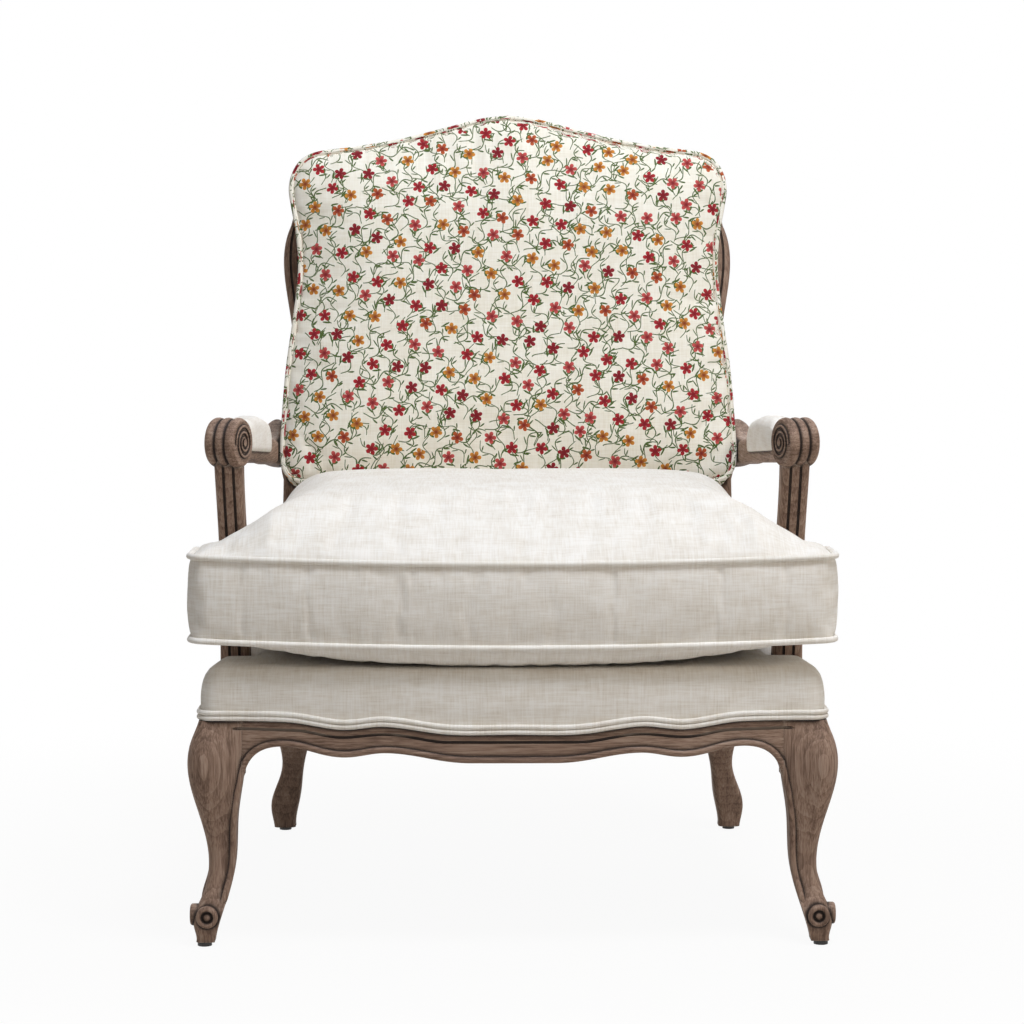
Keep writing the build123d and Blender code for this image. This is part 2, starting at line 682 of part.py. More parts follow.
def post_glide_point():
    """Middle of a rear foot, on the floor."""
    height, outer, front, wide, deep = post_stations()[0]
    return Vector(outer - wide / 2, y_at(front + deep / 2), 0)


def crest_edges():
    """Crest rail seen along its own face: top edge, lower edge and the two ends."""
    foot = (POST_TOP - RAKE_START) / cos(radians(RAKE)) - 12
    outer = POST_OUTER + SHOULDER_SWELL - POST_TOP_DRAW
    inner = outer - POST_WIDTH
    top = mirror_keys((
        (0.0, CREST_RISE, (1, 0)),
        (POST_OUTER - 48, CREST_RISE - 72, (1, -0.3)),
        (outer, foot + 12, (0.2, -1)),
    ))
    low = mirror_keys((
        (0.0, CREST_RISE - CREST_MIDDLE_HEIGHT, (1, 0)),
        (POST_INNER - 46, CREST_RISE - 104, (1, -0.35)),
        (inner, foot + 12, (0, -1)),
    ))
    edges = [key_line(top), key_line(low)]
    for side in (-1, 1):
        edges.append(Line((side * outer, foot + 12), (side * outer, foot)))
        edges.append(Line((side * outer, foot), (side * inner, foot)))
        edges.append(Line((side * inner, foot), (side * inner, foot + 12)))
    return edges


def crest_rail():
    """Arched top rail that stands on the two posts."""
    face = make_face(crest_edges())
    rail = extrude(BACK_FACE * face, -CREST_THICKNESS)
    rail = rail & block((-FAR, FAR), (-FAR, FAR), (POST_TOP, FAR))
    rims = rail.edges().filter_by(GeomType.BSPLINE).group_by(SortBy.LENGTH)[-1]
    return fillet(rims, 5)


def stay_rail(posts):
    """Lower cross rail of the back, above the seat."""
    low = -STAY_RAIL_DROP - STAY_RAIL_HEIGHT
    reach = POST_INNER + 12
    outline = closed([(-reach, low), (reach, low), (reach, -STAY_RAIL_DROP), (-reach, -STAY_RAIL_DROP)])
    bar = extrude(BACK_FACE.offset(-STAY_RAIL_THICKNESS - 2) * make_face(outline), STAY_RAIL_THICKNESS)
    return bar - posts


# Arms and their supports

def arm_stations():
    """Depth, centre x, centre height, width and height of an arm, from the knuckle to the post."""
    front = ARM_FRONT_HEIGHT
    back = ARM_BACK_HEIGHT
    step = (back - front) / 3
    flare = ARM_FLARE_HEIGHT
    end = POST_FRONT + 44
    return (
        (KNUCKLE_DEPTH, KNUCKLE_X, KNUCKLE_HEIGHT + 2, ARM_WIDTH + 3, ARM_HEIGHT + 2),
        (KNUCKLE_DEPTH + 58, ARM_X + 10, front + 7, ARM_WIDTH + 1, ARM_HEIGHT + 2),
        (KNUCKLE_DEPTH + 158, ARM_X + 5, front, ARM_WIDTH, ARM_HEIGHT),
        (KNUCKLE_DEPTH + 258, ARM_X + 1, front + step, ARM_WIDTH, ARM_HEIGHT),
        (KNUCKLE_DEPTH + 358, ARM_X - 1, front + 2 * step, ARM_WIDTH, ARM_HEIGHT),
        (end - 114, ARM_X - 1, back, ARM_WIDTH, ARM_HEIGHT + 3),
        (end - 56, ARM_X - 2, back, ARM_WIDTH - 3, ARM_HEIGHT + 12),
        (end - 14, POST_OUTER + ARM_LAP / 2, back + 3, ARM_LAP, flare),
        (end, POST_OUTER + ARM_LAP / 2 - 3, back + 4, ARM_LAP - 6, flare + 6),
    )


def arm_place(index, facing):
    """Plane across the arm at one station, with its normal along or against the arm."""
    stations = arm_stations()
    last = len(stations) - 1
    before = stations[max(index - 1, 0)]
    after = stations[min(index + 1, last)]
    way = Vector(after[1] - before[1], after[0] - before[0], after[2] - before[2]).normalized()
    depth, x, height = stations[index][:3]
    across = Vector(way.Y, -way.X, 0).normalized()
    return Plane(origin=(x, y_at(depth), height), x_dir=across, z_dir=way * facing)


def knuckle():
    """Scrolled end of an arm: a reeded drum with a spiral on either side."""
    half = KNUCKLE_WIDTH / 2
    reed = KNUCKLE_WIDTH / REEDS
    base = KNUCKLE_RADIUS - REED_RISE
    edges = [Line((-half, 0), (-half, base))]
    for index in range(REEDS):
        start = -half + index * reed
        edges.append(ThreePointArc((start, base), (start + reed / 2, KNUCKLE_RADIUS), (start + reed, base)))
    edges.append(Line((half, base), (half, 0)))
    edges.append(Line((half, 0), (-half, 0)))
    drum = revolve(make_face(edges), axis=Axis.X)
    spiral = Plane.YZ.offset(half) * volute()
    drum = drum + spiral + mirror(spiral, about=Plane.YZ)
    return Pos(KNUCKLE_X, y_at(KNUCKLE_DEPTH), KNUCKLE_HEIGHT) * Rot(0, 0, KNUCKLE_TURN) * drum


def volute():
    """Raised spiral wound in from half circles, with a round eye."""
    start = -VOLUTE_RADII[0]
    side = 1
    turns = []
    for radius in VOLUTE_RADII:
        end = start + 2 * radius * side
        turns.append(ThreePointArc((start, 0), (start + radius * side, radius * side), (end, 0)))
        start = end
        side = -side
    spiral = pipe(Wire(turns), VOLUTE_WIRE)
    eye = Pos(start / 2, 0, -2) * Cylinder(VOLUTE_EYE, 4 + VOLUTE_WIRE * 2)
    return spiral + eye


def arm(post):
    """Right arm from its scrolled knuckle to the back post."""
    sections = []
    for index, station in enumerate(arm_stations()):
        wide, tall = station[3:]
        sections.append(arm_place(index, 1) * RectangleRounded(wide, tall, ARM_ROUND))
    return loft(sections) + knuckle() - post


def arm_pad(wood):
    """Small stuffed pad on top of the arm."""
    sections = []
    stations = arm_stations()
    shares = ((0.0, 0.8, 0.3), (0.12, 0.95, 0.8), (0.45, 1.0, 1.0), (0.82, 0.95, 0.85), (1.0, 0.8, 0.3))
    for along, breadth, rise in shares:
        depth = PAD_START + PAD_LENGTH * along
        index = max(i for i, s in enumerate(stations) if s[0] <= depth)
        near, far = stations[index], stations[index + 1]
        part = (depth - near[0]) / (far[0] - near[0])
        x = near[1] + part * (far[1] - near[1])
        top = near[2] + part * (far[2] - near[2]) + ARM_HEIGHT / 2
        half = PAD_WIDTH * breadth / 2
        place = Plane(origin=(x, y_at(depth), top), x_dir=(1, 0, 0), z_dir=(0, -1, 0))
        sections.append(place * make_face([
            Line((-half, -PAD_WRAP), (half, -PAD_WRAP)),
            Line((half, -PAD_WRAP), (half, 2)),
            ThreePointArc((half, 2), (0, PAD_RISE * rise), (-half, 2)),
            Line((-half, 2), (-half, -PAD_WRAP)),
        ]))
    return loft(sections) - wood


def support_stations():
    """Height, centre x, depth, width and length of an arm support, from the side rail up."""
    rise = KNUCKLE_HEIGHT - RAIL_TOP
    lean = SUPPORT_FOOT_DEPTH - KNUCKLE_DEPTH
    out = KNUCKLE_X - SUPPORT_X
    neck = SUPPORT_NECK
    wide = SUPPORT_WIDTH
    return (
        (RAIL_TOP, SUPPORT_X, SUPPORT_FOOT_DEPTH, wide + 2, SUPPORT_FOOT_LENGTH),
        (RAIL_TOP + 0.15 * rise, SUPPORT_X, SUPPORT_FOOT_DEPTH - 0.1 * lean, wide + 1, neck + 6),
        (RAIL_TOP + 0.36 * rise, SUPPORT_X - 1, SUPPORT_FOOT_DEPTH - 0.31 * lean, wide, neck + 2),
        (RAIL_TOP + 0.57 * rise, SUPPORT_X - 1, SUPPORT_FOOT_DEPTH - 0.56 * lean, wide - 1, neck),
        (RAIL_TOP + 0.77 * rise, SUPPORT_X + 0.2 * out, SUPPORT_FOOT_DEPTH - 0.79 * lean, wide - 1, neck),
        (RAIL_TOP + 0.93 * rise, SUPPORT_X + 0.8 * out, SUPPORT_FOOT_DEPTH - 0.94 * lean, wide, neck + 4),
    )


def arm_support(wood):
    """Right arm support, reeded in front, cut to fit under the arm."""
    sections = []
    for height, x, depth, wide, long in support_stations():
        sections.append(Pos(x, y_at(depth), height) * RectangleRounded(wide, long, 7))
    support = loft(sections)
    for side in (-1, 1):
        points = []
        for height, x, depth, wide, long in support_stations():
            points.append((x + side * SUPPORT_GROOVE_OFFSET, y_at(depth - long / 2), height))
        support = support - pipe(Spline(*points), GROOVE_RADIUS)
    # The cut round the knuckle leaves a loose chip, so only the support itself is kept.
    return (support - wood).solids().sort_by(SortBy.VOLUME)[-1]


# Joinery

def dowel(middle, way, length=DOWEL_LENGTH):
    """A dowel across a joint, and the hole for it."""
    run = Vector(*way).normalized()
    pin = rod(middle - run * (length / 2), run, length, DOWEL_RADIUS)
    half = length / 2 + DOWEL_FIT
    hole = rod(middle - run * half, run, 2 * half, DOWEL_RADIUS + DOWEL_FIT)
    return pin, hole


def front_joint_dowels():
    """Front rail into the right leg."""
    heights = (LEDGE_HEIGHT - 24, LEDGE_HEIGHT + 8)
    return [dowel(Vector(LEG_INNER, y_at(FRONT_RAIL_THICKNESS / 2), z), (1, 0, 0)) for z in heights]


def side_front_dowels():
    """Right side rail into the front leg."""
    x = side_x(LEG_BLOCK, SIDE_RAIL_THICKNESS / 2)
    heights = (LEDGE_HEIGHT - 8, RAIL_TOP - 8)
    return [dowel(Vector(x, y_at(LEG_BLOCK), z), tuple(SIDE_AXIS)) for z in heights]


def side_back_dowels():
    """Right side rail into the back post."""
    x = side_x(POST_FRONT, SIDE_RAIL_THICKNESS / 2)
    heights = (LEDGE_HEIGHT - 22, LEDGE_HEIGHT + 8)
    return [dowel(Vector(x, y_at(POST_FRONT), z), tuple(SIDE_AXIS)) for z in heights]


def back_rail_dowels():
    """Back rail into the right post."""
    depth = (BACK_RAIL_FRONT + BACK_RAIL_REAR) / 2
    heights = (LEDGE_HEIGHT - 7, RAIL_TOP - 8)
    return [dowel(Vector(POST_INNER, y_at(depth), z), (1, 0, 0)) for z in heights]


def stay_rail_dowel():
    """Stay rail into the right post."""
    up = -STAY_RAIL_DROP - STAY_RAIL_HEIGHT / 2
    middle = BACK_FACE.from_local_coords((POST_INNER, up, -2 - STAY_RAIL_THICKNESS / 2))
    return dowel(middle, (1, 0, 0))


def crest_dowel():
    """Crest rail on to the right post."""
    height, outer, front, wide, deep = post_stations()[-1]
    return dowel(Vector(outer - wide / 2, y_at(front + deep / 2), height), UP_THE_BACK)


def arm_back_dowel():
    """Arm into the right post."""
    height = ARM_BACK_HEIGHT + 3
    middle = Vector(POST_OUTER - 1, y_at(post_front(height) + POST_DEPTH / 2 - 6), height)
    return dowel(middle, (1, 0, 0), ARM_DOWEL_LENGTH)


def arm_support_dowel():
    """Arm support up into the knuckle."""
    height, x, depth, wide, long = support_stations()[-1]
    return dowel(Vector(x, y_at(depth), height - 6), (0, 0, 1))


def support_foot_dowel():
    """Arm support down into the side rail."""
    return dowel(Vector(SUPPORT_X, y_at(SUPPORT_FOOT_DEPTH), RAIL_TOP), (0, 0, 1))


def corner_outline(front):
    """Plan of a right corner block: round the leg's or post's corner and across to its slanted face."""
    if front:
        corner = (LEG_INNER, LEG_BLOCK)
        rail = FRONT_RAIL_THICKNESS
        turn = 1
    else:
        corner = (POST_INNER - 1.5, POST_FRONT - 0.5)
        rail = BACK_RAIL_FRONT
        turn = -1
    reach = BLOCK_LEG + abs(corner[1] - rail)
    inner = SIDE_RAIL_THICKNESS + CLEARANCE / 2
    slope = SIDE_AXIS.X / SIDE_AXIS.Y
    end = corner[1] + (BLOCK_LEG + side_x(corner[1], inner) - corner[0]) / (turn - slope)
    near = corner[0] - CLEARANCE
    touch = corner[1] + turn * CLEARANCE
    points = [
        (corner[0] - reach, rail), (near, rail), (near, touch),
        (side_x(touch, inner), touch), (side_x(end, inner), end),
    ]
    return [(x, y_at(depth)) for x, depth in points], corner, turn


def corner_block(front):
    """Right glue block, with its two screws and their holes."""
    points, corner, turn = corner_outline(front)
    timber = prism(closed(points), BLOCK_BOTTOM, BLOCK_BOTTOM + BLOCK_HEIGHT)
    way = Vector(1, -turn, 0).normalized()
    face = Vector(corner[0], y_at(corner[1]), 0) - way * (BLOCK_LEG / sqrt(2))
    screws = []
    holes = []
    for side in (-1, 1):
        head = face + Vector(0, 0, BLOCK_BOTTOM + BLOCK_HEIGHT / 2 + side * SCREW_SPACING / 2)
        cap = rod(head - way * SCREW_HEAD_HEIGHT, way, SCREW_HEAD_HEIGHT, SCREW_HEAD_RADIUS)
        screws.append(cap + rod(head - way, way, SCREW_LENGTH + 1, SCREW_RADIUS))
        holes.append(rod(head - way * 5, way, SCREW_LENGTH + 5.2, SCREW_RADIUS + DOWEL_FIT))
    return timber, screws, holes


# Webbing and deck

def wave(points, rise):
    """A woven strap's side view: alternately over and under, flat on the rails at its ends."""
    low = Spline(*points, tangents=[(1, 0)] * len(points))
    high = Pos(0, rise) * low
    return make_face([low, high, Line(low @ 0, high @ 0), Line(low @ 1, high @ 1)])


def strap_heights(count, over):
    """Underside heights of a strap at its crossings, over the first one or under it."""
    return [RAIL_TOP + (2 * STRAP_WAVE if (i + over) % 2 else 0.0) for i in range(count)]


def lengthwise_x(index):
    """Where a front-to-back strap lies across the seat."""
    return (index - (STRAPS_LENGTHWISE - 1) / 2) * (2 * POST_INNER - 60) / STRAPS_LENGTHWISE


def across_depth(index):
    """Where a side-to-side strap lies along the seat."""
    first = FRONT_RAIL_THICKNESS
    return first + (index + 0.5) * (BACK_RAIL_FRONT - first) / STRAPS_ACROSS


def lengthwise_straps():
    """Front-to-back webbing, tacked on the front and back rails."""
    straps = []
    ends = (FRONT_RAIL_THICKNESS - 22, BACK_RAIL_REAR - 8)
    for index in range(STRAPS_LENGTHWISE):
        crossings = [across_depth(i) for i in range(STRAPS_ACROSS)]
        heights = strap_heights(STRAPS_ACROSS, index)
        points = [(ends[0], RAIL_TOP)] + list(zip(crossings, heights)) + [(ends[1], RAIL_TOP)]
        face = wave([(y_at(d), z) for d, z in points], STRAP_THICKNESS)
        start = Plane.YZ.offset(lengthwise_x(index) - STRAP_WIDTH / 2)
        straps.append(extrude(start * face, STRAP_WIDTH))
    return straps


def crosswise_straps():
    """Side-to-side webbing, woven through and tacked on the side rails."""
    straps = []
    for index in range(STRAPS_ACROSS):
        depth = across_depth(index)
        end = side_x(depth + STRAP_WIDTH / 2, TACKING_RECESS + 8)
        crossings = [lengthwise_x(i) for i in range(STRAPS_LENGTHWISE)]
        heights = strap_heights(STRAPS_LENGTHWISE, index + 1)
        points = [(-end, RAIL_TOP)] + list(zip(crossings, heights)) + [(end, RAIL_TOP)]
        face = wave(points, STRAP_THICKNESS)
        start = Plane.XZ.offset(-y_at(depth) - STRAP_WIDTH / 2)
        straps.append(extrude(start * face, STRAP_WIDTH) - strap_notches())
    return straps


def strap_notches():
    """Room round the arm supports' feet."""
    inner = SUPPORT_X - SUPPORT_WIDTH / 2 - 3
    end = SUPPORT_FOOT_DEPTH + SUPPORT_FOOT_LENGTH / 2 + 2
    return both_sides(block((inner, FAR), (support_front(), end), (0, FAR)))


def post_notches():
    """Room round the back posts."""
    return both_sides(block((POST_INNER - 4, FAR), (POST_FRONT - 2, FAR), (0, FAR)))


def deck_outline(inset, rear):
    """Plan of the deck: bowed front, rounded corners, tapering sides, straight back."""
    front = y_at(inset)
    outer = LEG_OUTER - inset
    corner = DECK_CORNER - inset
    bend = corner * (1 - 1 / sqrt(2))
    back = side_x(rear, inset)
    edges = [ThreePointArc((-LEG_INNER, front), (0, front - FRONT_RAIL_BOW), (LEG_INNER, front))]
    for side in (-1, 1):
        edges += [
            Line((side * LEG_INNER, front), (side * (outer - corner), front)),
            ThreePointArc(
                (side * (outer - corner), front),
                (side * (outer - bend), front + bend),
                (side * outer, front + corner),
            ),
            Line((side * outer, front + corner), (side * outer, y_at(LEG_BLOCK))),
            Line((side * outer, y_at(LEG_BLOCK)), (side * back, y_at(rear))),
        ]
    edges.append(Line((-back, y_at(rear)), (back, y_at(rear))))
    return edges


def deck_block(inset, rear, low, high, rounding):
    """Deck volume with a rounded upper edge."""
    volume = prism(deck_outline(inset, rear), low, high)
    if rounding:
        volume = fillet(volume.faces().sort_by(Axis.Z)[-1].edges(), rounding)
    return volume


def deck_cover(wood):
    """Tight linen cover over the deck, ending on the show wood's ledge."""
    rear = BACK_RAIL_REAR + CLEARANCE
    skirt = LEDGE_HEIGHT - SHOW_CENTRE_DROP - 8
    outer = deck_block(DECK_INSET, rear + COVER_THICKNESS, skirt, DECK_TOP, DECK_ROUND)
    inset = DECK_INSET + COVER_THICKNESS
    inner = deck_block(inset, rear, skirt - 5, DECK_TOP - COVER_THICKNESS, DECK_ROUND - COVER_THICKNESS)
    shell = outer - inner - strap_notches() - post_notches()
    for piece in wood:
        shell = shell - piece
    return shell


def deck_pad():
    """Foam pad under the cover."""
    inset = DECK_INSET + COVER_THICKNESS + CLEARANCE
    top = DECK_TOP - COVER_THICKNESS
    pad = deck_block(inset, BACK_RAIL_REAR, PAD_BOTTOM, top, DECK_ROUND - COVER_THICKNESS)
    return pad - strap_notches() - post_notches()


def hessian():
    """Coarse cloth over the webbing."""
    cloth = prism(deck_outline(DECK_INSET + 8, BACK_RAIL_REAR - 4), WEB_TOP, HESSIAN_TOP)
    return cloth - strap_notches() - post_notches()


def welt_front(lift):
    """One cord of the double welt, along the ledge from arm support to arm support."""
    sink = DECK_INSET - WELT_RADIUS - CLEARANCE
    rise = WELT_RADIUS + CLEARANCE + lift
    corner = DECK_CORNER - sink
    outer = LEG_OUTER - sink
    keys = front_ledge_keys() + ((outer - corner, LEDGE_HEIGHT, (1, 0)),)
    front = front_curve(keys, rise, sink)
    stop = support_front() - 2
    height = LEDGE_HEIGHT + rise
    bend = corner * (1 - 1 / sqrt(2))
    near = y_at(sink)
    edges = [front]
    for side in (-1, 1):
        a = (side * (outer - corner), near, height)
        m = (side * (outer - bend), near + bend, height)
        b = (side * outer, near + corner, height)
        c = (side * outer, y_at(LEG_BLOCK), height)
        d = (side * side_x(stop, sink), y_at(stop), height)
        edges += [ThreePointArc(a, m, b), Spline(b, c, d, tangents=[(0, 1, 0), (-side * 0.1, 1, 0)])]
    return edges


def support_front():
    """Depth where the notch for the arm support begins."""
    return SUPPORT_FOOT_DEPTH - SUPPORT_FOOT_LENGTH / 2 - 6


def welt_cords():
    """Double welt: two cords in front, two round each corner and two behind each arm support."""
    cords = []
    for lift in (0.0, 2 * WELT_RADIUS + CLEARANCE):
        edges = welt_front(lift)
        cords.append(pipe(edges[0], WELT_RADIUS))
        for arc, run in ((edges[1], edges[2]), (edges[3], edges[4])):
            cords.append(pipe(Wire([arc, run]), WELT_RADIUS))
        cords += welt_rear(lift)
    return cords


def welt_rear(lift):
    """One cord along each side rail, from the arm support to the back post."""
    sink = DECK_INSET - WELT_RADIUS - CLEARANCE
    rise = WELT_RADIUS + CLEARANCE + lift
    start = (SUPPORT_FOOT_DEPTH + SUPPORT_FOOT_LENGTH / 2 + 4 - LEG_BLOCK) / SIDE_AXIS.Y
    end = SIDE_LENGTH - 4
    low = LEDGE_HEIGHT - SHOW_DIP_DROP
    keys = ((start, low, (1, 0)), (SIDE_LENGTH / 2, low, (1, 0)), (end, LEDGE_HEIGHT, (1, 0)))
    cord = pipe(side_curve(keys, rise, sink), WELT_RADIUS)
    return [cord, mirrored(cord)]


def dust_cover():
    """Dark cloth under the seat, stapled to the corner blocks."""
    inner = SIDE_RAIL_THICKNESS + 1
    right = [
        (LEG_INNER - 1, FRONT_RAIL_THICKNESS + 0.5), (LEG_INNER - 1, LEG_BLOCK + 1),
        (side_x(LEG_BLOCK + 1, inner), LEG_BLOCK + 1), (side_x(POST_FRONT - 2, inner), POST_FRONT - 2),
        (POST_INNER - 4, POST_FRONT - 2), (POST_INNER - 4, BACK_RAIL_FRONT - 0.5),
    ]
    left = [(-x, depth) for x, depth in reversed(right)]
    outline = closed([(x, y_at(depth)) for x, depth in right + left])
    return prism(outline, BLOCK_BOTTOM - DUST_COVER_THICKNESS, BLOCK_BOTTOM)


# Seat cushion

def rounded_run(points, radii):
    """Straight edges through points, with each corner between them rounded to its radius."""
    points = [Vector(*point) for point in points]
    start = points[0]
    edges = []
    for index, radius in enumerate(radii):
        corner = points[index + 1]
        into = (corner - points[index]).normalized()
        away = (points[index + 2] - corner).normalized()
        half_turn = radians(into.get_angle(away)) / 2
        trim = radius * tan(half_turn)
        middle = corner + (away - into).normalized() * (radius / cos(half_turn) - radius)
        first = corner - into * trim
        last = corner + away * trim
        if (first - start).length > 0.01:
            edges.append(Line(start, first))
        edges.append(ThreePointArc(first, middle, last))
        start = last
    edges.append(Line(start, points[-1]))
    return edges


def seat_outline(inset):
    """T-shaped plan of the seat cushion: bowed front, ears in front of the arms, narrowing to the back."""
    corner = SEAT_CORNER - inset
    tip = SEAT_EAR_HALF - inset
    front = y_at(inset - SEAT_OVERHANG)
    brow = front + SEAT_BOW
    ear = y_at(SEAT_EAR_DEPTH - inset)
    neck = SEAT_NECK_HALF - inset
    back = y_at(SEAT_BACK_DEPTH - inset)
    tail = SEAT_BACK_HALF - inset
    level = [(1, 0), (1, 0), (1, 0)]
    edges = [Spline((corner - tip, brow), (0, front), (tip - corner, brow), tangents=level)]
    for side in (-1, 1):
        run = [(tip - corner, brow), (tip, brow), (tip, ear), (neck, ear), (tail, back), (0, back)]
        radii = (corner, corner / 2, SEAT_EAR_NOOK + inset, corner)
        edges += rounded_run([(side * x, y) for x, y in run], radii)
    return edges


def seat_section(depth, half, crown, sag, inset):
    """Cross section of the seat cushion: flat boxing between a full, crowned top and a sagging underside."""
    low = SEAT_WELT_LOW + inset
    high = SEAT_WELT_HIGH - inset
    place = Plane(origin=(0, y_at(depth), 0), x_dir=(1, 0, 0), z_dir=(0, -1, 0))
    rising = [(half * out, high + crown * up) for out, up in SEAT_SWELL]
    falling = [(-x, z) for x, z in reversed(rising)]
    return place * make_face([
        ThreePointArc((-half, low), (0, low - sag), (half, low)),
        Line((half, low), (half, high)),
        Spline(*rising, (0, high + crown), *falling),
        Line((-half, high), (-half, low)),
    ])


def seat_crown(depth):
    """Height of the crown over the upper welt, at a depth: a blunt roll in front, a slope behind."""
    away = depth - SEAT_CROWN_DEPTH
    fall = (away / SEAT_CROWN_FALL) ** 2
    if away < 0:
        fall = (-away / SEAT_CROWN_FRONT) ** SEAT_CROWN_ROLL
    return max(SEAT_CROWN * (1 - fall), 2.0)


def seat_form(inset):
    """Crowned volume of the seat cushion, drawn in by an even amount."""
    start = -SEAT_OVERHANG - 4
    full = SEAT_SAG + SEAT_SETTLE
    stations = (
        (start, 4.0),
        (SEAT_EAR_DEPTH / 4, full - 10),
        (SEAT_EAR_DEPTH, full - 4),
        ((SEAT_EAR_DEPTH + SEAT_CROWN_DEPTH) / 2, full),
        (SEAT_CROWN_DEPTH, full),
        ((SEAT_CROWN_DEPTH + SEAT_BACK_DEPTH) / 2, full),
        (SEAT_BACK_DEPTH + 4, 12.0),
    )
    body = []
    for depth, sag in stations:
        body.append(seat_section(depth, SEAT_NECK_HALF + 2, seat_crown(depth), sag, inset))
    ears = []
    for depth, share in ((start, 0.1), (SEAT_EAR_DEPTH / 2, 1.0), (SEAT_EAR_DEPTH + 4, 0.4)):
        crown = SEAT_EAR_CROWN * share
        ears.append(seat_section(depth, SEAT_EAR_HALF + 2, crown, SEAT_EAR_SAG * share, inset))
    top = SEAT_WELT_HIGH + SEAT_CROWN + 20
    return (loft(body) + loft(ears)) & prism(seat_outline(inset), SEAT_BOTTOM + inset, top)


def seat_core():
    """Foam block of the seat cushion, with its ears glued on as separate pieces."""
    foam = seat_form(COVER_THICKNESS + CLEARANCE)
    neck = SEAT_NECK_HALF - COVER_THICKNESS - CLEARANCE
    ears = both_sides(block((neck, FAR), (-FAR, FAR), (0, FAR)))
    return (foam - ears).solids() + (foam & ears).solids()


def seat_piping(height):
    """Welt round the seat cushion at one height."""
    return pipe_round(seat_outline(-PIPING_STAND), height, SEAT_PIPING)


def pipe_round(edges, height, radius):
    """A closed cord over a plan outline."""
    path = Pos(0, 0, height) * Wire(edges)
    return sweep(Plane(origin=path @ 0, z_dir=path % 0) * Circle(radius), path=path)


# Back cushion

def back_outline(scale, inset):
    """Camel-backed outline of the back cushion in the back's own plane, scaled about its middle."""
    bottom = BACK_BOTTOM + inset
    corner = BACK_CORNER
    foot = BACK_FOOT_HALF - inset
    bend = corner * (1 - 1 / sqrt(2))
    middle = (BACK_BOTTOM + BACK_TOP) / 2

    def at(x, up):
        return (x * scale, middle + (up - middle) * scale)

    keys = (
        (foot, bottom + corner, (0, 1)),
        (BACK_WAIST_HALF - inset, BACK_WAIST, (0, 1)),
        (BACK_SHOULDER_HALF - inset, BACK_SHOULDER, (0, 1)),
        (BACK_SHOULDER_HALF - inset - 34, BACK_SHOULDER + 47 - inset, (-1, 0.2)),
        (0.0, BACK_TOP - inset, (-1, 0)),
    )
    edges = [Line(at(corner - foot, bottom), at(foot - corner, bottom))]
    for side in (-1, 1):
        edges.append(ThreePointArc(
            at(side * (foot - corner), bottom),
            at(side * (foot - bend), bottom + bend),
            at(side * foot, bottom + corner),
        ))
        points = [at(side * x, up) for x, up, way in keys]
        edges.append(Spline(*points, tangents=[(side * way[0], way[1]) for x, up, way in keys]))
    return edges


def back_level(out, scale, inset):
    """One level of the back cushion, parallel to the back."""
    return BACK_FACE.offset(out) * make_face(back_outline(scale, inset))


def back_form(inset):
    """Boxed back cushion: bulging border between a flat rear and a crowned front."""
    rear = BACK_GAP + inset
    front = BACK_GAP + BACK_BOX - inset
    half = (BACK_TOP - BACK_BOTTOM) / 2
    bulge = 1 + BACK_BULGE / half
    border = loft([
        back_level(rear, 1.0, inset),
        back_level((rear + front) / 2, bulge, inset),
        back_level(front, 1.0, inset),
    ])
    levels = ((0.0, 1.0), (0.4, 0.955), (0.7, 0.88), (0.92, 0.72), (1.0, 0.45))
    crown = loft([back_level(front + BACK_CROWN * rise, scale, inset) for rise, scale in levels])
    floor = BACK_FACE.offset(-FAR / 2) * make_face(closed([
        (-FAR, BACK_BOTTOM + inset), (FAR, BACK_BOTTOM + inset), (FAR, FAR), (-FAR, FAR),
    ]))
    return (border + crown) & extrude(floor, FAR)


def back_piping(out):
    """Welt round one face of the back cushion."""
    path = BACK_FACE.offset(out) * Wire(back_outline(1.0, -PIPING_STAND))
    return sweep(Plane(origin=path @ 0, z_dir=path % 0) * Circle(BACK_PIPING), path=path)


# Back panels

def panel_edges(margin):
    """Opening between the stiles, the crest and the stay rail, with a margin over the frame."""
    reach = POST_INNER + margin
    return closed([
        (-reach, -STAY_RAIL_DROP - margin), (reach, -STAY_RAIL_DROP - margin),
        (reach, CREST_RISE - CREST_MIDDLE_HEIGHT), (-reach, CREST_RISE - CREST_MIDDLE_HEIGHT),
    ])


def back_panel(out, thickness, frame):
    """A panel that fills the back frame's opening, its front face that far out of the back plane."""
    panel = extrude(BACK_FACE.offset(out - thickness) * make_face(panel_edges(8.0)), thickness)
    for piece in frame:
        panel = panel - piece
    return panel.solids().sort_by(SortBy.VOLUME)[-1]


# Putting it together

def drill(shape, joints):
    """Cuts the holes of some dowel joints."""
    for pin, hole in joints:
        shape = shape - hole
    return shape


def drill_both(shape, joints):
    """Cuts the holes of right-hand dowel joints and their mirror images."""
    for pin, hole in joints:
        shape = shape - hole - mirrored(hole)
    return shape


def pins(joints):
    """Dowels of right-hand joints and their mirror images."""
    return [both_sides(pin) for pin, hole in joints]


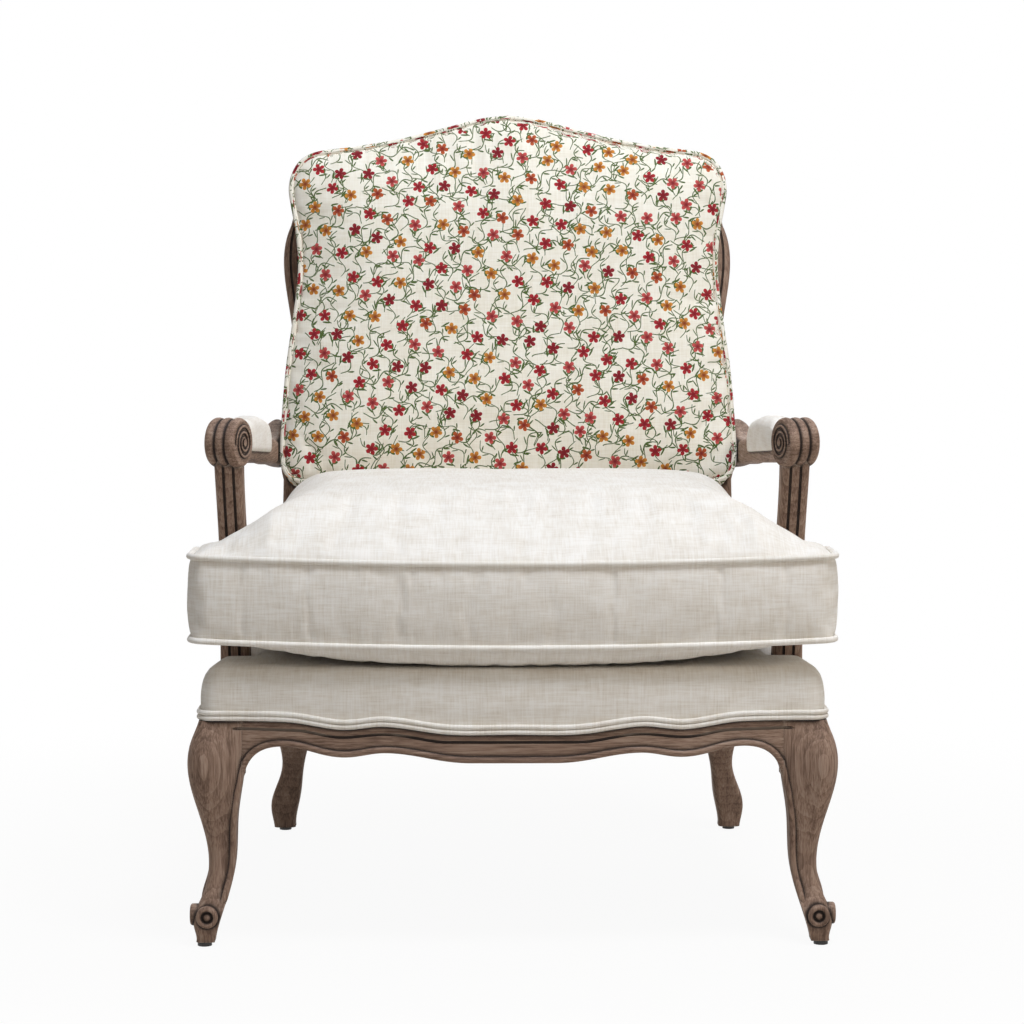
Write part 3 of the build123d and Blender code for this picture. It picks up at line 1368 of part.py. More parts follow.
def build_frame():
    """Wooden frame with its dowels, glue blocks and glides."""
    apron = front_bead()
    edging = side_bead()
    lower = rear_leg()
    upper = stile()
    leg_set = front_joint_dowels()
    side_set = side_front_dowels()
    post_set = side_back_dowels()
    rear_set = back_rail_dowels()
    stay_set = [stay_rail_dowel()]
    crest_set = [crest_dowel()]
    arm_set = [arm_back_dowel()]
    knuckle_set = [arm_support_dowel()]
    foot_set = [support_foot_dowel()]
    front_block, front_screws, front_holes = corner_block(True)
    rear_block, rear_screws, rear_holes = corner_block(False)

    leg = drill(front_leg(), leg_set + side_set)
    post = drill(lower, post_set + rear_set + stay_set) + drill(upper, crest_set + arm_set)
    side = drill(side_rail(edging, lower), side_set + post_set + foot_set)
    wood = arm(upper)
    support = drill(arm_support(wood), knuckle_set + foot_set)
    pad = arm_pad(wood)
    wood = drill(wood, arm_set + knuckle_set)
    for hole in front_holes:
        leg = leg - hole
        front_block = front_block - hole
    for hole in rear_holes:
        post = post - hole
        rear_block = rear_block - hole

    lowers = both_sides(lower)
    pair("front_leg", leg)
    pair("back_post", post)
    pair("side_rail", side)
    pair("arm", wood)
    pair("arm_support", support)
    pair("arm_pad", pad)
    PARTS["front_rail"] = drill_both(front_rail(apron), leg_set)
    PARTS["back_rail"] = drill_both(back_rail(lowers), rear_set)
    PARTS["stay_rail"] = drill_both(stay_rail(lowers), stay_set)
    PARTS["crest_rail"] = drill_both(crest_rail(), crest_set)
    group("rail_dowels", pins(leg_set + side_set + post_set + rear_set))
    group("back_dowels", pins(stay_set + crest_set))
    group("arm_dowels", pins(arm_set + knuckle_set + foot_set))
    group("corner_blocks", [both_sides(front_block), both_sides(rear_block)])
    group("corner_block_screws", [both_sides(screw) for screw in front_screws + rear_screws])
    group("foot_glides", [both_sides(glide(leg_glide_point())), both_sides(glide(post_glide_point()))])


def build_deck():
    """Webbing, padding, cover and welt of the tight deck."""
    group("seat_webbing_lengthwise", lengthwise_straps())
    group("seat_webbing_crosswise", crosswise_straps())
    PARTS["seat_hessian"] = hessian()
    PARTS["deck_pad"] = deck_pad()
    ends = [PARTS[name + side] for name in ("front_leg", "side_rail") for side in ("_left", "_right")]
    PARTS["deck_cover"] = deck_cover([PARTS["front_rail"]] + ends)
    group("deck_double_welt", welt_cords())
    PARTS["dust_cover"] = dust_cover()


def build_back():
    """Panels and webbing that close the back frame."""
    frame = [PARTS[name] for name in ("back_post_left", "back_post_right", "crest_rail", "stay_rail")]
    PARTS["inside_back_panel"] = back_panel(-2.0, INSIDE_PANEL_THICKNESS, frame)
    straps = []
    for index in range(BACK_STRAPS):
        x = (index - (BACK_STRAPS - 1) / 2) * 2 * POST_INNER / (BACK_STRAPS + 1)
        low = -STAY_RAIL_DROP
        outline = closed([
            (x - STRAP_WIDTH / 2, low), (x + STRAP_WIDTH / 2, low),
            (x + STRAP_WIDTH / 2, CREST_RISE), (x - STRAP_WIDTH / 2, CREST_RISE),
        ])
        rear = -2.0 - INSIDE_PANEL_THICKNESS - STRAP_THICKNESS
        strap = extrude(BACK_FACE.offset(rear) * make_face(outline), STRAP_THICKNESS) - PARTS["crest_rail"]
        straps.append(strap.solids().sort_by(SortBy.VOLUME)[-1])
    group("back_webbing", straps)
    out = -CREST_THICKNESS + OUTSIDE_PANEL_THICKNESS + 4
    PARTS["outside_back_panel"] = back_panel(out, OUTSIDE_PANEL_THICKNESS, frame)


def build_cushions():
    """Loose seat and back cushions: foam, cover and welts."""
    group("seat_cushion_core", seat_core())
    PARTS["seat_cushion_cover"] = seat_form(0.0) - seat_form(COVER_THICKNESS)
    group("seat_cushion_welts", [seat_piping(SEAT_WELT_LOW), seat_piping(SEAT_WELT_HIGH)])
    PARTS["back_cushion_core"] = back_form(COVER_THICKNESS + CLEARANCE)
    PARTS["back_cushion_cover"] = back_form(0.0) - back_form(COVER_THICKNESS)
    fronts = (BACK_GAP + BACK_PIPING, BACK_GAP + BACK_BOX)
    group("back_cushion_welts", [back_piping(out) for out in fronts])


def main():
    """Builds every piece and writes one file for each."""
    os.makedirs("parts", exist_ok=True)
    build_frame()
    build_deck()
    build_back()
    build_cushions()
    for name, shape in PARTS.items():
        export_step(shape, "parts/" + name + ".step")
        print(name, len(shape.solids()), "solids", round(shape.volume / 1000), "cm3")


if __name__ == "__main__":
    main()
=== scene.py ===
"""Looks of the accent armchair: limed oak, linen, cushions, floor, light and camera."""

from __future__ import annotations

import json
import logging
import math
from dataclasses import dataclass
from enum import Enum
from typing import Any, Sequence

import bpy
import numpy as np
from mathutils import Euler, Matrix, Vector, noise

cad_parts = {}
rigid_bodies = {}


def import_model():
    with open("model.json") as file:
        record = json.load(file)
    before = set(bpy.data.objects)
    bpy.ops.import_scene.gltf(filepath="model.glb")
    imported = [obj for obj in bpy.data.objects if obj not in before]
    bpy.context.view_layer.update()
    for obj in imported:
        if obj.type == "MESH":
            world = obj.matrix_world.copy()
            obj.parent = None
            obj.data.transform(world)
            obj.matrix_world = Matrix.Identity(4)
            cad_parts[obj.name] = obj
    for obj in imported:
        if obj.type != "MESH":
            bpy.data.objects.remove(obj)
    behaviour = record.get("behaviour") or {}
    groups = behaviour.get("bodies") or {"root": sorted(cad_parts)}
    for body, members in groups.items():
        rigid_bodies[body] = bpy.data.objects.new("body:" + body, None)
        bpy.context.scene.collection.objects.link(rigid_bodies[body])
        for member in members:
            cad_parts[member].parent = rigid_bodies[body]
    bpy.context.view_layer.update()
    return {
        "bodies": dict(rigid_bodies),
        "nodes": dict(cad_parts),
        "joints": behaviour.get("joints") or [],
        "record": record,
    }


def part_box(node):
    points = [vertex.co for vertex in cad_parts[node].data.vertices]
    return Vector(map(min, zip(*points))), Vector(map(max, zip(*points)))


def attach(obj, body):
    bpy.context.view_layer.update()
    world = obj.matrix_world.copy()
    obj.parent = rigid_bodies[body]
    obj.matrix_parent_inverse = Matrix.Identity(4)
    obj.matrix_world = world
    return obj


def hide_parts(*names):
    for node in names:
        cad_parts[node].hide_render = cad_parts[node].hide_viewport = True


LOG = logging.getLogger("armchair")

# Sizes are in millimetres, as x, depth behind the front plane and height. place() makes metres of them.
MM = 0.001
FRONT_Y = -361.0
# A wave texture's band is this share of its unit wide.
WAVE_BAND = 0.314

Points = np.ndarray
Faces = list[tuple[int, ...]]
Piece = bpy.types.Object
Material = bpy.types.Material
Node = bpy.types.Node
Socket = bpy.types.NodeSocket
Tree = bpy.types.NodeTree


class Grain(Enum):
    """The way the wood's fibres run in a piece."""

    ALONG_X = (1.0, 0.0, 0.0)
    ALONG_Y = (0.0, 1.0, 0.0)
    ALONG_Z = (0.0, 0.0, 1.0)

    @property
    def rings(self) -> str:
        """The axis across the growth rings."""
        return "Y" if self is Grain.ALONG_Z else "Z"


class Body(Enum):
    """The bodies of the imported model."""

    FRAME = "frame"
    SEAT = "seat_cushion"
    BACK = "back_cushion"


# Finishes


def linear(colour: str) -> tuple[float, float, float, float]:
    """Turns an sRGB hex colour into linear light.

    Args:
        colour: The colour as "#rrggbb".

    Returns:
        Red, green, blue and an alpha of one.
    """
    parts = [int(colour[i : i + 2], 16) / 255 for i in (1, 3, 5)]
    light = [p / 12.92 if p <= 0.04045 else ((p + 0.055) / 1.055) ** 2.4 for p in parts]
    return light[0], light[1], light[2], 1.0


def add(
    tree: Tree,
    kind: str,
    links: dict[int | str, Any] | None = None,
    stops: Sequence[tuple[float, str]] = (),
    **settings: Any,
) -> Node:
    """Adds one shader node with its settings and links.

    Args:
        tree: The node tree that gets the node.
        kind: The node's type name without its "ShaderNode".
        links: Input socket to a value, to the socket that feeds it, or to the node whose first
            output in use feeds it.
        stops: Places and hex colours of a colour ramp.
        **settings: Properties of the node itself.

    Returns:
        The new node.
    """
    made = tree.nodes.new("ShaderNode" + kind)
    for name, value in settings.items():
        setattr(made, name, value)
    for key, value in (links or {}).items():
        if isinstance(value, Node):
            value = next(out for out in value.outputs if out.enabled)
        if isinstance(value, Socket):
            tree.links.new(value, made.inputs[key])
        else:
            made.inputs[key].default_value = value
    for i, (place_at, colour) in enumerate(stops):
        ramp = made.color_ramp.elements
        stop = ramp[i] if i < 2 else ramp.new(place_at)
        stop.position = place_at
        stop.color = linear(colour)
    return made


def new_material(name: str) -> tuple[Material, Tree]:
    """Makes an empty node material.

    Args:
        name: The material's name.

    Returns:
        The material and its node tree.
    """
    material = bpy.data.materials.new(name)
    material.use_nodes = True
    material.node_tree.nodes.clear()
    return material, material.node_tree


@dataclass(frozen=True)
class LimedOak:
    """Oak, wire brushed, limed grey and waxed dark: open pores, hollows darkened partly by wax and partly
    by painted shade, edges lightened partly by rubbing and partly by a painted highlight.
    """

    name: str = "limed_oak"
    fibre: str = "#8d7362"
    early_wood: str = "#a99281"
    late_wood: str = "#665144"
    # Dark wax, also used as painted shade in the hollows, grooves and joints between parts.
    wax_and_shade: str = "#1b110b"
    # Rubbed wood, also used as a painted highlight along the edges.
    rubbed_and_highlight: str = "#b9a796"
    # Width across the fibres, length along them, and share in the colour.
    bands: tuple[float, float, float] = (11.0, 190.0, 0.40)
    rings: tuple[float, float, float] = (4.5, 40.5, 0.08)
    pores: tuple[float, float, float] = (1.4, 34.0, 0.55)
    # Reach of a hollow, how open it is where the dark wax and painted shade start and where they are full,
    # and their most.
    wax_and_shade_hollows: tuple[tuple[float, float, float, float], ...] = (
        (9.0, 0.97, 0.72, 0.9),
        (4.0, 0.985, 0.86, 0.97),
    )
    edge: float = 2.6

    def build(self, grain: Grain) -> Material:
        """Makes the wood with its fibres along one axis.

        Args:
            grain: The way the fibres run.

        Returns:
            The material.
        """
        material, tree = new_material(f"{self.name}_{grain.name.lower()}")
        where = add(tree, "TexCoord").outputs["Object"]
        spaces = []
        for width, length, _ in (self.bands, self.rings, self.pores):
            scale = [1 / (MM * (length if along else width)) for along in grain.value]
            spaces.append(add(tree, "Mapping", {"Vector": where, "Scale": scale}))
        bands = add(
            tree, "TexNoise", {"Vector": spaces[0], "Scale": 1.0, "Detail": 3.0, "Distortion": 0.6}
        )
        rings = add(
            tree,
            "TexWave",
            {"Vector": spaces[1], "Scale": WAVE_BAND, "Distortion": 3.0, "Detail": 2.0},
            bands_direction=grain.rings,
            wave_profile="SAW",
        )
        pores = add(
            tree, "TexNoise", {"Vector": spaces[2], "Scale": 1.0, "Detail": 4.0, "Roughness": 0.62}
        )
        mixed: Node | float = 0.0
        parts = ((bands, self.bands), (rings.outputs["Fac"], self.rings), (pores, self.pores))
        for part, (_, _, share) in parts:
            mixed = add(tree, "Math", {0: part, 1: share, 2: mixed}, operation="MULTIPLY_ADD")
        colour = add(
            tree,
            "ValToRGB",
            {0: mixed},
            stops=[(0.40, self.late_wood), (0.68, self.early_wood), (0.53, self.fibre)],
        )
        # Ambient occlusion darkens the hollows, grooves and joints: partly dark wax, partly painted shade.
        wax_and_shade_mask: Node | float = 0.0
        for reach, clear, full, most in self.wax_and_shade_hollows:
            hollow = add(tree, "AmbientOcclusion", {"Distance": reach * MM}, samples=8).outputs["AO"]
            wax_and_shade = add(tree, "MapRange", {0: hollow, 1: clear, 2: full, 3: 0.0, 4: most})
            wax_and_shade_mask = add(tree, "Math", {0: wax_and_shade, 1: wax_and_shade_mask}, operation="MAXIMUM")
        # Ambient occlusion looking inwards lightens the convex edges: partly rubbed wear, partly a painted
        # highlight.
        edges = add(tree, "AmbientOcclusion", {"Distance": self.edge * MM}, samples=6, inside=True)
        wear_and_highlight_mask = add(tree, "MapRange", {0: edges.outputs["AO"], 1: 0.62, 2: 0.3, 3: 0.0, 4: 0.4})
        for mask, over in ((wax_and_shade_mask, self.wax_and_shade), (wear_and_highlight_mask, self.rubbed_and_highlight)):
            colour = add(tree, "Mix", {0: mask, 6: colour, 7: linear(over)}, data_type="RGBA")
        links = {
            "Base Color": colour,
            "Specular IOR Level": 0.28,
            "Roughness": add(tree, "MapRange", {0: mixed, 1: 0.35, 2: 0.7, 3: 0.75, 4: 0.55}),
            "Normal": add(tree, "Bump", {"Strength": 0.32, "Distance": 0.5 * MM, "Height": mixed}),
        }
        add(tree, "OutputMaterial", {"Surface": add(tree, "BsdfPrincipled", links)})
        return material


@dataclass(frozen=True)
class Linen:
    """Plain woven linen: slubs along both threads, soft mottling, a dull sheen."""

    name: str
    thread: str
    slub: str
    light: str
    pitch: float = 1.6
    slub_width: float = 1.8
    slub_length: float = 26.0
    mottle: tuple[float, float, float] = (38.4, 38.4, 16.8)
    mottle_share: float = 0.9
    sheen: float = 0.12

    def weave(self, tree: Tree) -> tuple[Node, Node]:
        """Adds the threads and slubs. The real threads, about 0.5 mm apart, are too fine for the
        render, so they are drawn about three times as coarse.

        Args:
            tree: The node tree that gets the nodes.

        Returns:
            The threads' height and the slubs' tone.
        """
        where = add(tree, "TexCoord").outputs["Object"]
        facing = add(tree, "SeparateXYZ", {0: add(tree, "NewGeometry").outputs["Normal"]})
        sums: list[Any] = [0.0, 0.0]
        threads = {
            "Vector": where,
            "Scale": WAVE_BAND / (self.pitch * MM),
            "Distortion": 2.2,
            "Detail": 2.0,
            "Detail Scale": 1.5,
        }
        for axis, name in enumerate("XYZ"):
            wave = add(tree, "TexWave", threads, bands_direction=name).outputs["Fac"]
            scale = [1 / (MM * (self.slub_width if i == axis else self.slub_length)) for i in range(3)]
            space = add(tree, "Mapping", {"Vector": where, "Scale": scale})
            slubs = add(tree, "TexNoise", {"Vector": space, "Scale": 1.0, "Detail": 2.0})
            side = facing.outputs[axis]
            square = add(tree, "Math", {0: side, 1: side}, operation="MULTIPLY")
            shown = add(tree, "Math", {0: 1.0, 1: square}, operation="SUBTRACT")
            for i, part in enumerate((wave, slubs)):
                links = {0: part, 1: shown, 2: sums[i]}
                sums[i] = add(tree, "Math", links, operation="MULTIPLY_ADD")
        return sums[0], sums[1]

    def colour(self, tree: Tree, tone: Node) -> Node:
        """Adds the undyed cloth's colour.

        Args:
            tree: The node tree that gets the nodes.
            tone: The slubs' tone.

        Returns:
            The colour.
        """
        where = add(tree, "TexCoord").outputs["Object"]
        space = add(tree, "Mapping", {"Vector": where, "Scale": [1 / (m * MM) for m in self.mottle]})
        clouds = add(tree, "TexNoise", {"Vector": space, "Scale": 1.0, "Detail": 4.0})
        links = {0: clouds, 1: self.mottle_share, 2: tone}
        both = add(tree, "Math", links, operation="MULTIPLY_ADD")
        # The tone runs to 2 and the clouds to their share, so the level runs to 1.
        level = add(tree, "Math", {0: both, 1: 2 + self.mottle_share}, operation="DIVIDE")
        stops = [(0.26, self.slub), (0.59, self.light), (0.43, self.thread)]
        return add(tree, "ValToRGB", {0: level}, stops=stops)

    def build(self) -> Material:
        """Makes the cloth.

        Returns:
            The material.
        """
        material, tree = new_material(self.name)
        height, tone = self.weave(tree)
        relief = add(tree, "Math", {0: tone, 1: 0.9, 2: height}, operation="MULTIPLY_ADD")
        links = {
            "Base Color": self.colour(tree, tone),
            "Roughness": 0.92,
            "Specular IOR Level": 0.25,
            "Sheen Weight": self.sheen,
            "Sheen Roughness": 0.5,
            "Normal": add(tree, "Bump", {"Strength": 0.16, "Distance": 0.5 * MM, "Height": relief}),
        }
        add(tree, "OutputMaterial", {"Surface": add(tree, "BsdfPrincipled", links)})
        return material


@dataclass(frozen=True)
class Spray:
    """A printed stalk with oval leaves, bent by a Math operation. Sizes are shares of its cell."""

    bend: str
    rate: float
    sway: float
    width: float
    ends: tuple[float, float]
    leaves: tuple[tuple[int, float], ...]
    leaf_out: float
    leaf_lean: float
    leaf_size: tuple[float, float]

    def draw(self, tree: Tree, x: Socket, y: Socket) -> Node:
        """Adds the stalk and its leaves.

        Args:
            tree: The node tree that gets the nodes.
            x: The place across the cell.
            y: The place up the cell.

        Returns:
            Where the green lies.
        """
        rated = add(tree, "Math", {0: y, 1: self.rate}, operation="MULTIPLY")
        bent = add(tree, "Math", {0: rated, 1: rated}, operation=self.bend)
        off = add(tree, "Math", {0: bent, 1: self.sway, 2: x}, operation="MULTIPLY_ADD")
        apart = add(tree, "Math", {0: off}, operation="ABSOLUTE")
        mask = add(tree, "Math", {0: apart, 1: self.width}, operation="LESS_THAN")
        for end, test in zip(self.ends, ("GREATER_THAN", "LESS_THAN")):
            inside = add(tree, "Math", {0: y, 1: end}, operation=test)
            mask = add(tree, "Math", {0: mask, 1: inside}, operation="MULTIPLY")
        along = add(tree, "CombineXYZ", {0: off, 1: y})
        scale = (1 / self.leaf_size[0], 1 / self.leaf_size[1], 0.0)
        for side, rise in self.leaves:
            middle = (self.leaf_out * side, rise, 0.0)
            moved = add(tree, "VectorMath", {0: along, 1: middle}, operation="SUBTRACT")
            links = {"Vector": moved, "Angle": self.leaf_lean * side}
            turned = add(tree, "VectorRotate", links, rotation_type="Z_AXIS")
            oval = add(tree, "VectorMath", {0: turned, 1: scale}, operation="MULTIPLY")
            reach = add(tree, "VectorMath", {0: oval}, operation="LENGTH")
            leaf = add(tree, "Math", {0: reach, 1: 1.0}, operation="LESS_THAN")
            mask = add(tree, "Math", {0: mask, 1: leaf}, operation="MAXIMUM")
        return mask


@dataclass(frozen=True)
class PrintedLinen(Linen):
    """Linen printed with five-petalled blossoms over loose green tendrils, each in its own half-drop
    repeat, from the "print" UV map, which is in metres."""

    blossom_cell: float = 31.0
    blossom_lean: float = 0.62
    # From the middle of the cell, as shares of it: how high the blossom sits, how far its petals
    # reach between and at their tips, and where its heart starts to fade and ends.
    blossom_rise: float = 0.05
    petal_reach: tuple[float, float] = (0.08, 0.27)
    heart_reach: tuple[float, float] = (0.03, 0.22)
    tendrils: tuple[tuple[float, float], ...] = ((35.0, -0.42), (43.0, 1.05), (39.0, 0.2))
    petals: tuple[tuple[float, str], ...] = (
        (0.0, "#ad2a30"),
        (0.30, "#c75450"),
        (0.50, "#8f222a"),
        (0.64, "#d08a35"),
        (0.86, "#bb5a31"),
    )
    leaf: str = "#4f6330"
    heart: str = "#6d141d"
    # An S-shaped tendril with three leaves, and a bent stalk with two below the blossom.
    tendril: Spray = Spray(
        "SINE", 7.0, 0.13, 0.02, (-9.0, 9.0), ((1, 0.26), (-1, 0.0), (1, -0.27)), 0.095, 0.85, (0.03, 0.09)
    )
    sprig: Spray = Spray(
        "MULTIPLY", 1.0, -1.1, 0.026, (-0.48, 0.08), ((1, -0.15), (-1, -0.27)), 0.11, 0.9, (0.05, 0.14)
    )

    def colour(self, tree: Tree, tone: Node) -> Node:
        """Adds the cloth's colour with the print over it.

        Args:
            tree: The node tree that gets the nodes.
            tone: The slubs' tone.

        Returns:
            The colour.
        """
        inks: list[tuple[Any, Node]] = []
        for cell, lean in self.tendrils:
            x, y, _ = self.repeat(tree, cell, lean, 0.08, 0.6)
            inks.append((linear(self.leaf), self.tendril.draw(tree, x, y)))
        x, y, chance = self.repeat(tree, self.blossom_cell, self.blossom_lean, 0.19, 2.4)
        hue = add(tree, "ValToRGB", {0: chance}, stops=self.petals)
        hue.color_ramp.interpolation = "CONSTANT"
        petals, heart = self.blossom(tree, x, y)
        inks.append((linear(self.leaf), self.sprig.draw(tree, x, y)))
        inks += [(hue, petals), (linear(self.heart), heart)]
        cloth = Linen.colour(self, tree, tone)
        for ink, mask in inks:
            cloth = add(tree, "Mix", {0: mask, 6: cloth, 7: ink}, data_type="RGBA")
        return cloth

    def repeat(
        self, tree: Tree, cell: float, lean: float, stray: float, swing: float
    ) -> tuple[Socket, Socket, Socket]:
        """Adds a leaning half-drop repeat: every second column is half a cell lower, and each cell's
        motif is moved and turned by its own chance.

        Args:
            tree: The node tree that gets the nodes.
            cell: The cell's size in millimetres.
            lean: How far the columns lean, in radians.
            stray: How far a motif may lie off the cell's middle, as a share of the cell.
            swing: How far it may turn either way, in radians.

        Returns:
            The place across and up in a cell, from its motif's middle, and the cell's chance.
        """
        uv = add(tree, "UVMap", uv_map="print")
        leaning = add(tree, "VectorRotate", {"Vector": uv, "Angle": lean}, rotation_type="Z_AXIS")
        cells = add(tree, "VectorMath", {0: leaning, 3: 1 / (cell * MM)}, operation="SCALE")
        across, up = add(tree, "SeparateXYZ", {0: cells}).outputs[:2]
        column = add(tree, "Math", {0: across}, operation="FLOOR")
        odd = add(tree, "Math", {0: column, 1: 2.0}, operation="FLOORED_MODULO")
        dropped = add(tree, "Math", {0: odd, 1: 0.5, 2: up}, operation="MULTIPLY_ADD")
        row = add(tree, "Math", {0: dropped}, operation="FLOOR")
        number = add(tree, "CombineXYZ", {0: column, 1: row})
        whole = add(tree, "CombineXYZ", {0: across, 1: dropped})
        local = add(tree, "VectorMath", {0: whole, 1: number}, operation="SUBTRACT")
        chance = add(tree, "TexWhiteNoise", {"Vector": number}, noise_dimensions="2D")
        half = {0: chance.outputs["Color"], 1: (0.5, 0.5, 0.5)}
        jitter = add(tree, "VectorMath", half, operation="SUBTRACT")
        strayed = add(tree, "VectorMath", {0: jitter, 3: 2 * stray}, operation="SCALE")
        middle = add(tree, "VectorMath", {0: local, 1: (0.5, 0.5, 0.0)}, operation="SUBTRACT")
        moved = add(tree, "VectorMath", {0: middle, 1: strayed}, operation="ADD")
        turn = add(tree, "MapRange", {0: chance.outputs["Value"], 3: -swing, 4: swing})
        turned = add(tree, "VectorRotate", {"Vector": moved, "Angle": turn}, rotation_type="Z_AXIS")
        motif = add(tree, "SeparateXYZ", {0: turned})
        return motif.outputs[0], motif.outputs[1], chance.outputs["Value"]

    def blossom(self, tree: Tree, x: Socket, y: Socket) -> tuple[Node, Node]:
        """Adds a blossom of five round petals, shaded to its heart, at the head of the sprig.

        Args:
            tree: The node tree that gets the nodes.
            x: The place across the cell.
            y: The place up the cell.

        Returns:
            Where the petals lie, and how dark their hearts are.
        """
        lifted = add(tree, "Math", {0: y, 1: self.blossom_rise}, operation="SUBTRACT")
        lobes = add(tree, "Math", {0: lifted, 1: x}, operation="ARCTAN2")
        # Half of five turns of the angle, so that each lobe of the absolute cosine is one petal.
        for operation, value in (("MULTIPLY", 2.5), ("COSINE", 0.5), ("ABSOLUTE", 0.5), ("POWER", 0.55)):
            lobes = add(tree, "Math", {0: lobes, 1: value}, operation=operation)
        between, tip = self.petal_reach
        reach = add(tree, "MapRange", {0: lobes, 3: between, 4: tip})
        local = add(tree, "CombineXYZ", {0: x, 1: lifted})
        radius = add(tree, "VectorMath", {0: local}, operation="LENGTH")
        petals = add(tree, "Math", {0: radius, 1: reach}, operation="LESS_THAN")
        dark, faded = self.heart_reach
        heart = add(tree, "MapRange", {0: radius, 1: dark, 2: faded, 3: 0.85, 4: 0.0})
        return petals, add(tree, "Math", {0: heart, 1: petals}, operation="MULTIPLY")


@dataclass(frozen=True)
class PlainFinish:
    """A finish of one ground colour, clouded and grained at one real size."""

    name: str
    ground: str
    cloud: str
    size: float
    roughness: float
    metallic: float = 0.0
    stretch: tuple[float, float, float] = (1.0, 1.0, 1.0)
    relief: float = 0.1

    def build(self) -> Material:
        """Makes the material.

        Returns:
            The material.
        """
        material, tree = new_material(self.name)
        where = add(tree, "TexCoord").outputs["Object"]
        scale = [1 / (self.size * MM * s) for s in self.stretch]
        space = add(tree, "Mapping", {"Vector": where, "Scale": scale})
        grain = add(tree, "TexNoise", {"Vector": space, "Scale": 1.0, "Detail": 4.0})
        bump = {"Strength": self.relief, "Distance": 0.4 * MM, "Height": grain}
        links = {
            "Base Color": add(
                tree, "ValToRGB", {0: grain}, stops=[(0.35, self.cloud), (0.65, self.ground)]
            ),
            "Metallic": self.metallic,
            "Roughness": self.roughness,
            "Normal": add(tree, "Bump", bump),
        }
        add(tree, "OutputMaterial", {"Surface": add(tree, "BsdfPrincipled", links)})
        return material


# Lines and meshes


def place(points: Points) -> Points:
    """Turns x, depth and height in millimetres into metres in the shared frame."""
    return (np.asarray(points, float) + (0.0, FRONT_Y, 0.0)) * MM


def unit(v: Points) -> Points:
    """Vectors of length one, row by row."""
    return v / np.maximum(np.linalg.norm(v, axis=-1, keepdims=True), 1e-9)


def round_corners(corners: Sequence[tuple[float, float, float]]) -> Points:
    """Rounds the corners of a closed outline.

    Args:
        corners: Two coordinates and a radius each.

    Returns:
        The points of the rounded outline.
    """
    line: list[Points] = []
    for i, (x, y, radius) in enumerate(corners):
        here = np.array((x, y))
        if radius <= 0:
            line.append(here)
            continue
        a = unit(np.array(corners[i - 1][:2]) - here)
        b = unit(np.array(corners[(i + 1) % len(corners)][:2]) - here)
        half = math.acos(float(np.clip(a @ b, -1, 1))) / 2
        centre = here + unit(a + b) * radius / math.sin(half)
        start, end = (here + way * radius / math.tan(half) - centre for way in (a, b))
        first = math.atan2(start[1], start[0])
        sweep = math.atan2(end[1], end[0]) - first
        sweep = (sweep + math.pi) % (2 * math.pi) - math.pi
        for k in range(9):
            angle = first + sweep * k / 8
            line.append(centre + radius * np.array((math.cos(angle), math.sin(angle))))
    return np.array(line)


def evenly(line: Points, step: float, closed: bool = True) -> Points:
    """Samples a line at even steps.

    Args:
        line: The line's points.
        step: The distance between samples, about.
        closed: Whether its end joins its start.

    Returns:
        The samples.
    """
    full = np.vstack((line, line[:1])) if closed else np.asarray(line)
    gone = np.concatenate(([0.0], np.cumsum(np.linalg.norm(np.diff(full, axis=0), axis=1))))
    count = max(4, round(gone[-1] / step))
    at = np.linspace(0, gone[-1], count, endpoint=not closed)
    return np.stack([np.interp(at, gone, full[:, i]) for i in range(full.shape[1])], axis=1)


def smooth_line(keys: Sequence[Sequence[float]], per: int = 12) -> Points:
    """Draws a smooth open line through its keys, each piece a cubic with the neighbours' slope.

    Args:
        keys: The points it passes through.
        per: Samples in each piece.

    Returns:
        The line's points.
    """
    p = np.array(keys, float)
    gap = np.linalg.norm(np.diff(p, axis=0), axis=1)
    slope = np.zeros_like(p)
    for i in range(len(p)):
        before, after = max(i - 1, 0), min(i + 1, len(p) - 1)
        slope[i] = (p[after] - p[before]) / gap[before:after].sum()
    t = np.linspace(0, 1, per, endpoint=False)[:, None]
    runs = []
    for i in range(len(p) - 1):
        a, b = slope[i] * gap[i], slope[i + 1] * gap[i]
        runs.append(
            (2 * t**3 - 3 * t**2 + 1) * p[i]
            + (t**3 - 2 * t**2 + t) * a
            + (3 * t**2 - 2 * t**3) * p[i + 1]
            + (t**3 - t**2) * b
        )
    return np.vstack((*runs, p[-1:]))


def nearest_edge(points: Points, outline: Points) -> tuple[Points, Points, Points]:
    """Finds each point's nearest place on a closed outline.

    Args:
        points: The points, two coordinates each.
        outline: The outline's points in order.

    Returns:
        The distances, the way along the outline, and the outward directions there.
    """
    after = np.roll(outline, -1, axis=0)
    run = after - outline
    length = np.linalg.norm(run, axis=1)
    start = np.concatenate(([0.0], np.cumsum(length)[:-1]))
    turn = np.sum(outline[:, 0] * after[:, 1] - after[:, 0] * outline[:, 1])
    outward = unit(np.stack((run[:, 1], -run[:, 0]), axis=1)) * math.copysign(1.0, turn)
    best = np.full(len(points), 1e9)
    along = np.zeros(len(points))
    way = np.zeros((len(points), 2))
    for i in range(len(outline)):
        share = np.clip((points - outline[i]) @ run[i] / length[i] ** 2, 0, 1)
        gap = np.linalg.norm(points - outline[i] - share[:, None] * run[i], axis=1)
        nearer = gap < best
        best[nearer] = gap[nearer]
        along[nearer] = start[i] + share[nearer] * length[i]
        way[nearer] = outward[i]
    return best, along, way


def moved_out(outline: Points, centre: Sequence[float], by: float) -> Points:
    """An outline, moved outwards by a distance."""
    return outline + nearest_edge(outline + unit(outline - centre) * 0.01, outline)[2] * by


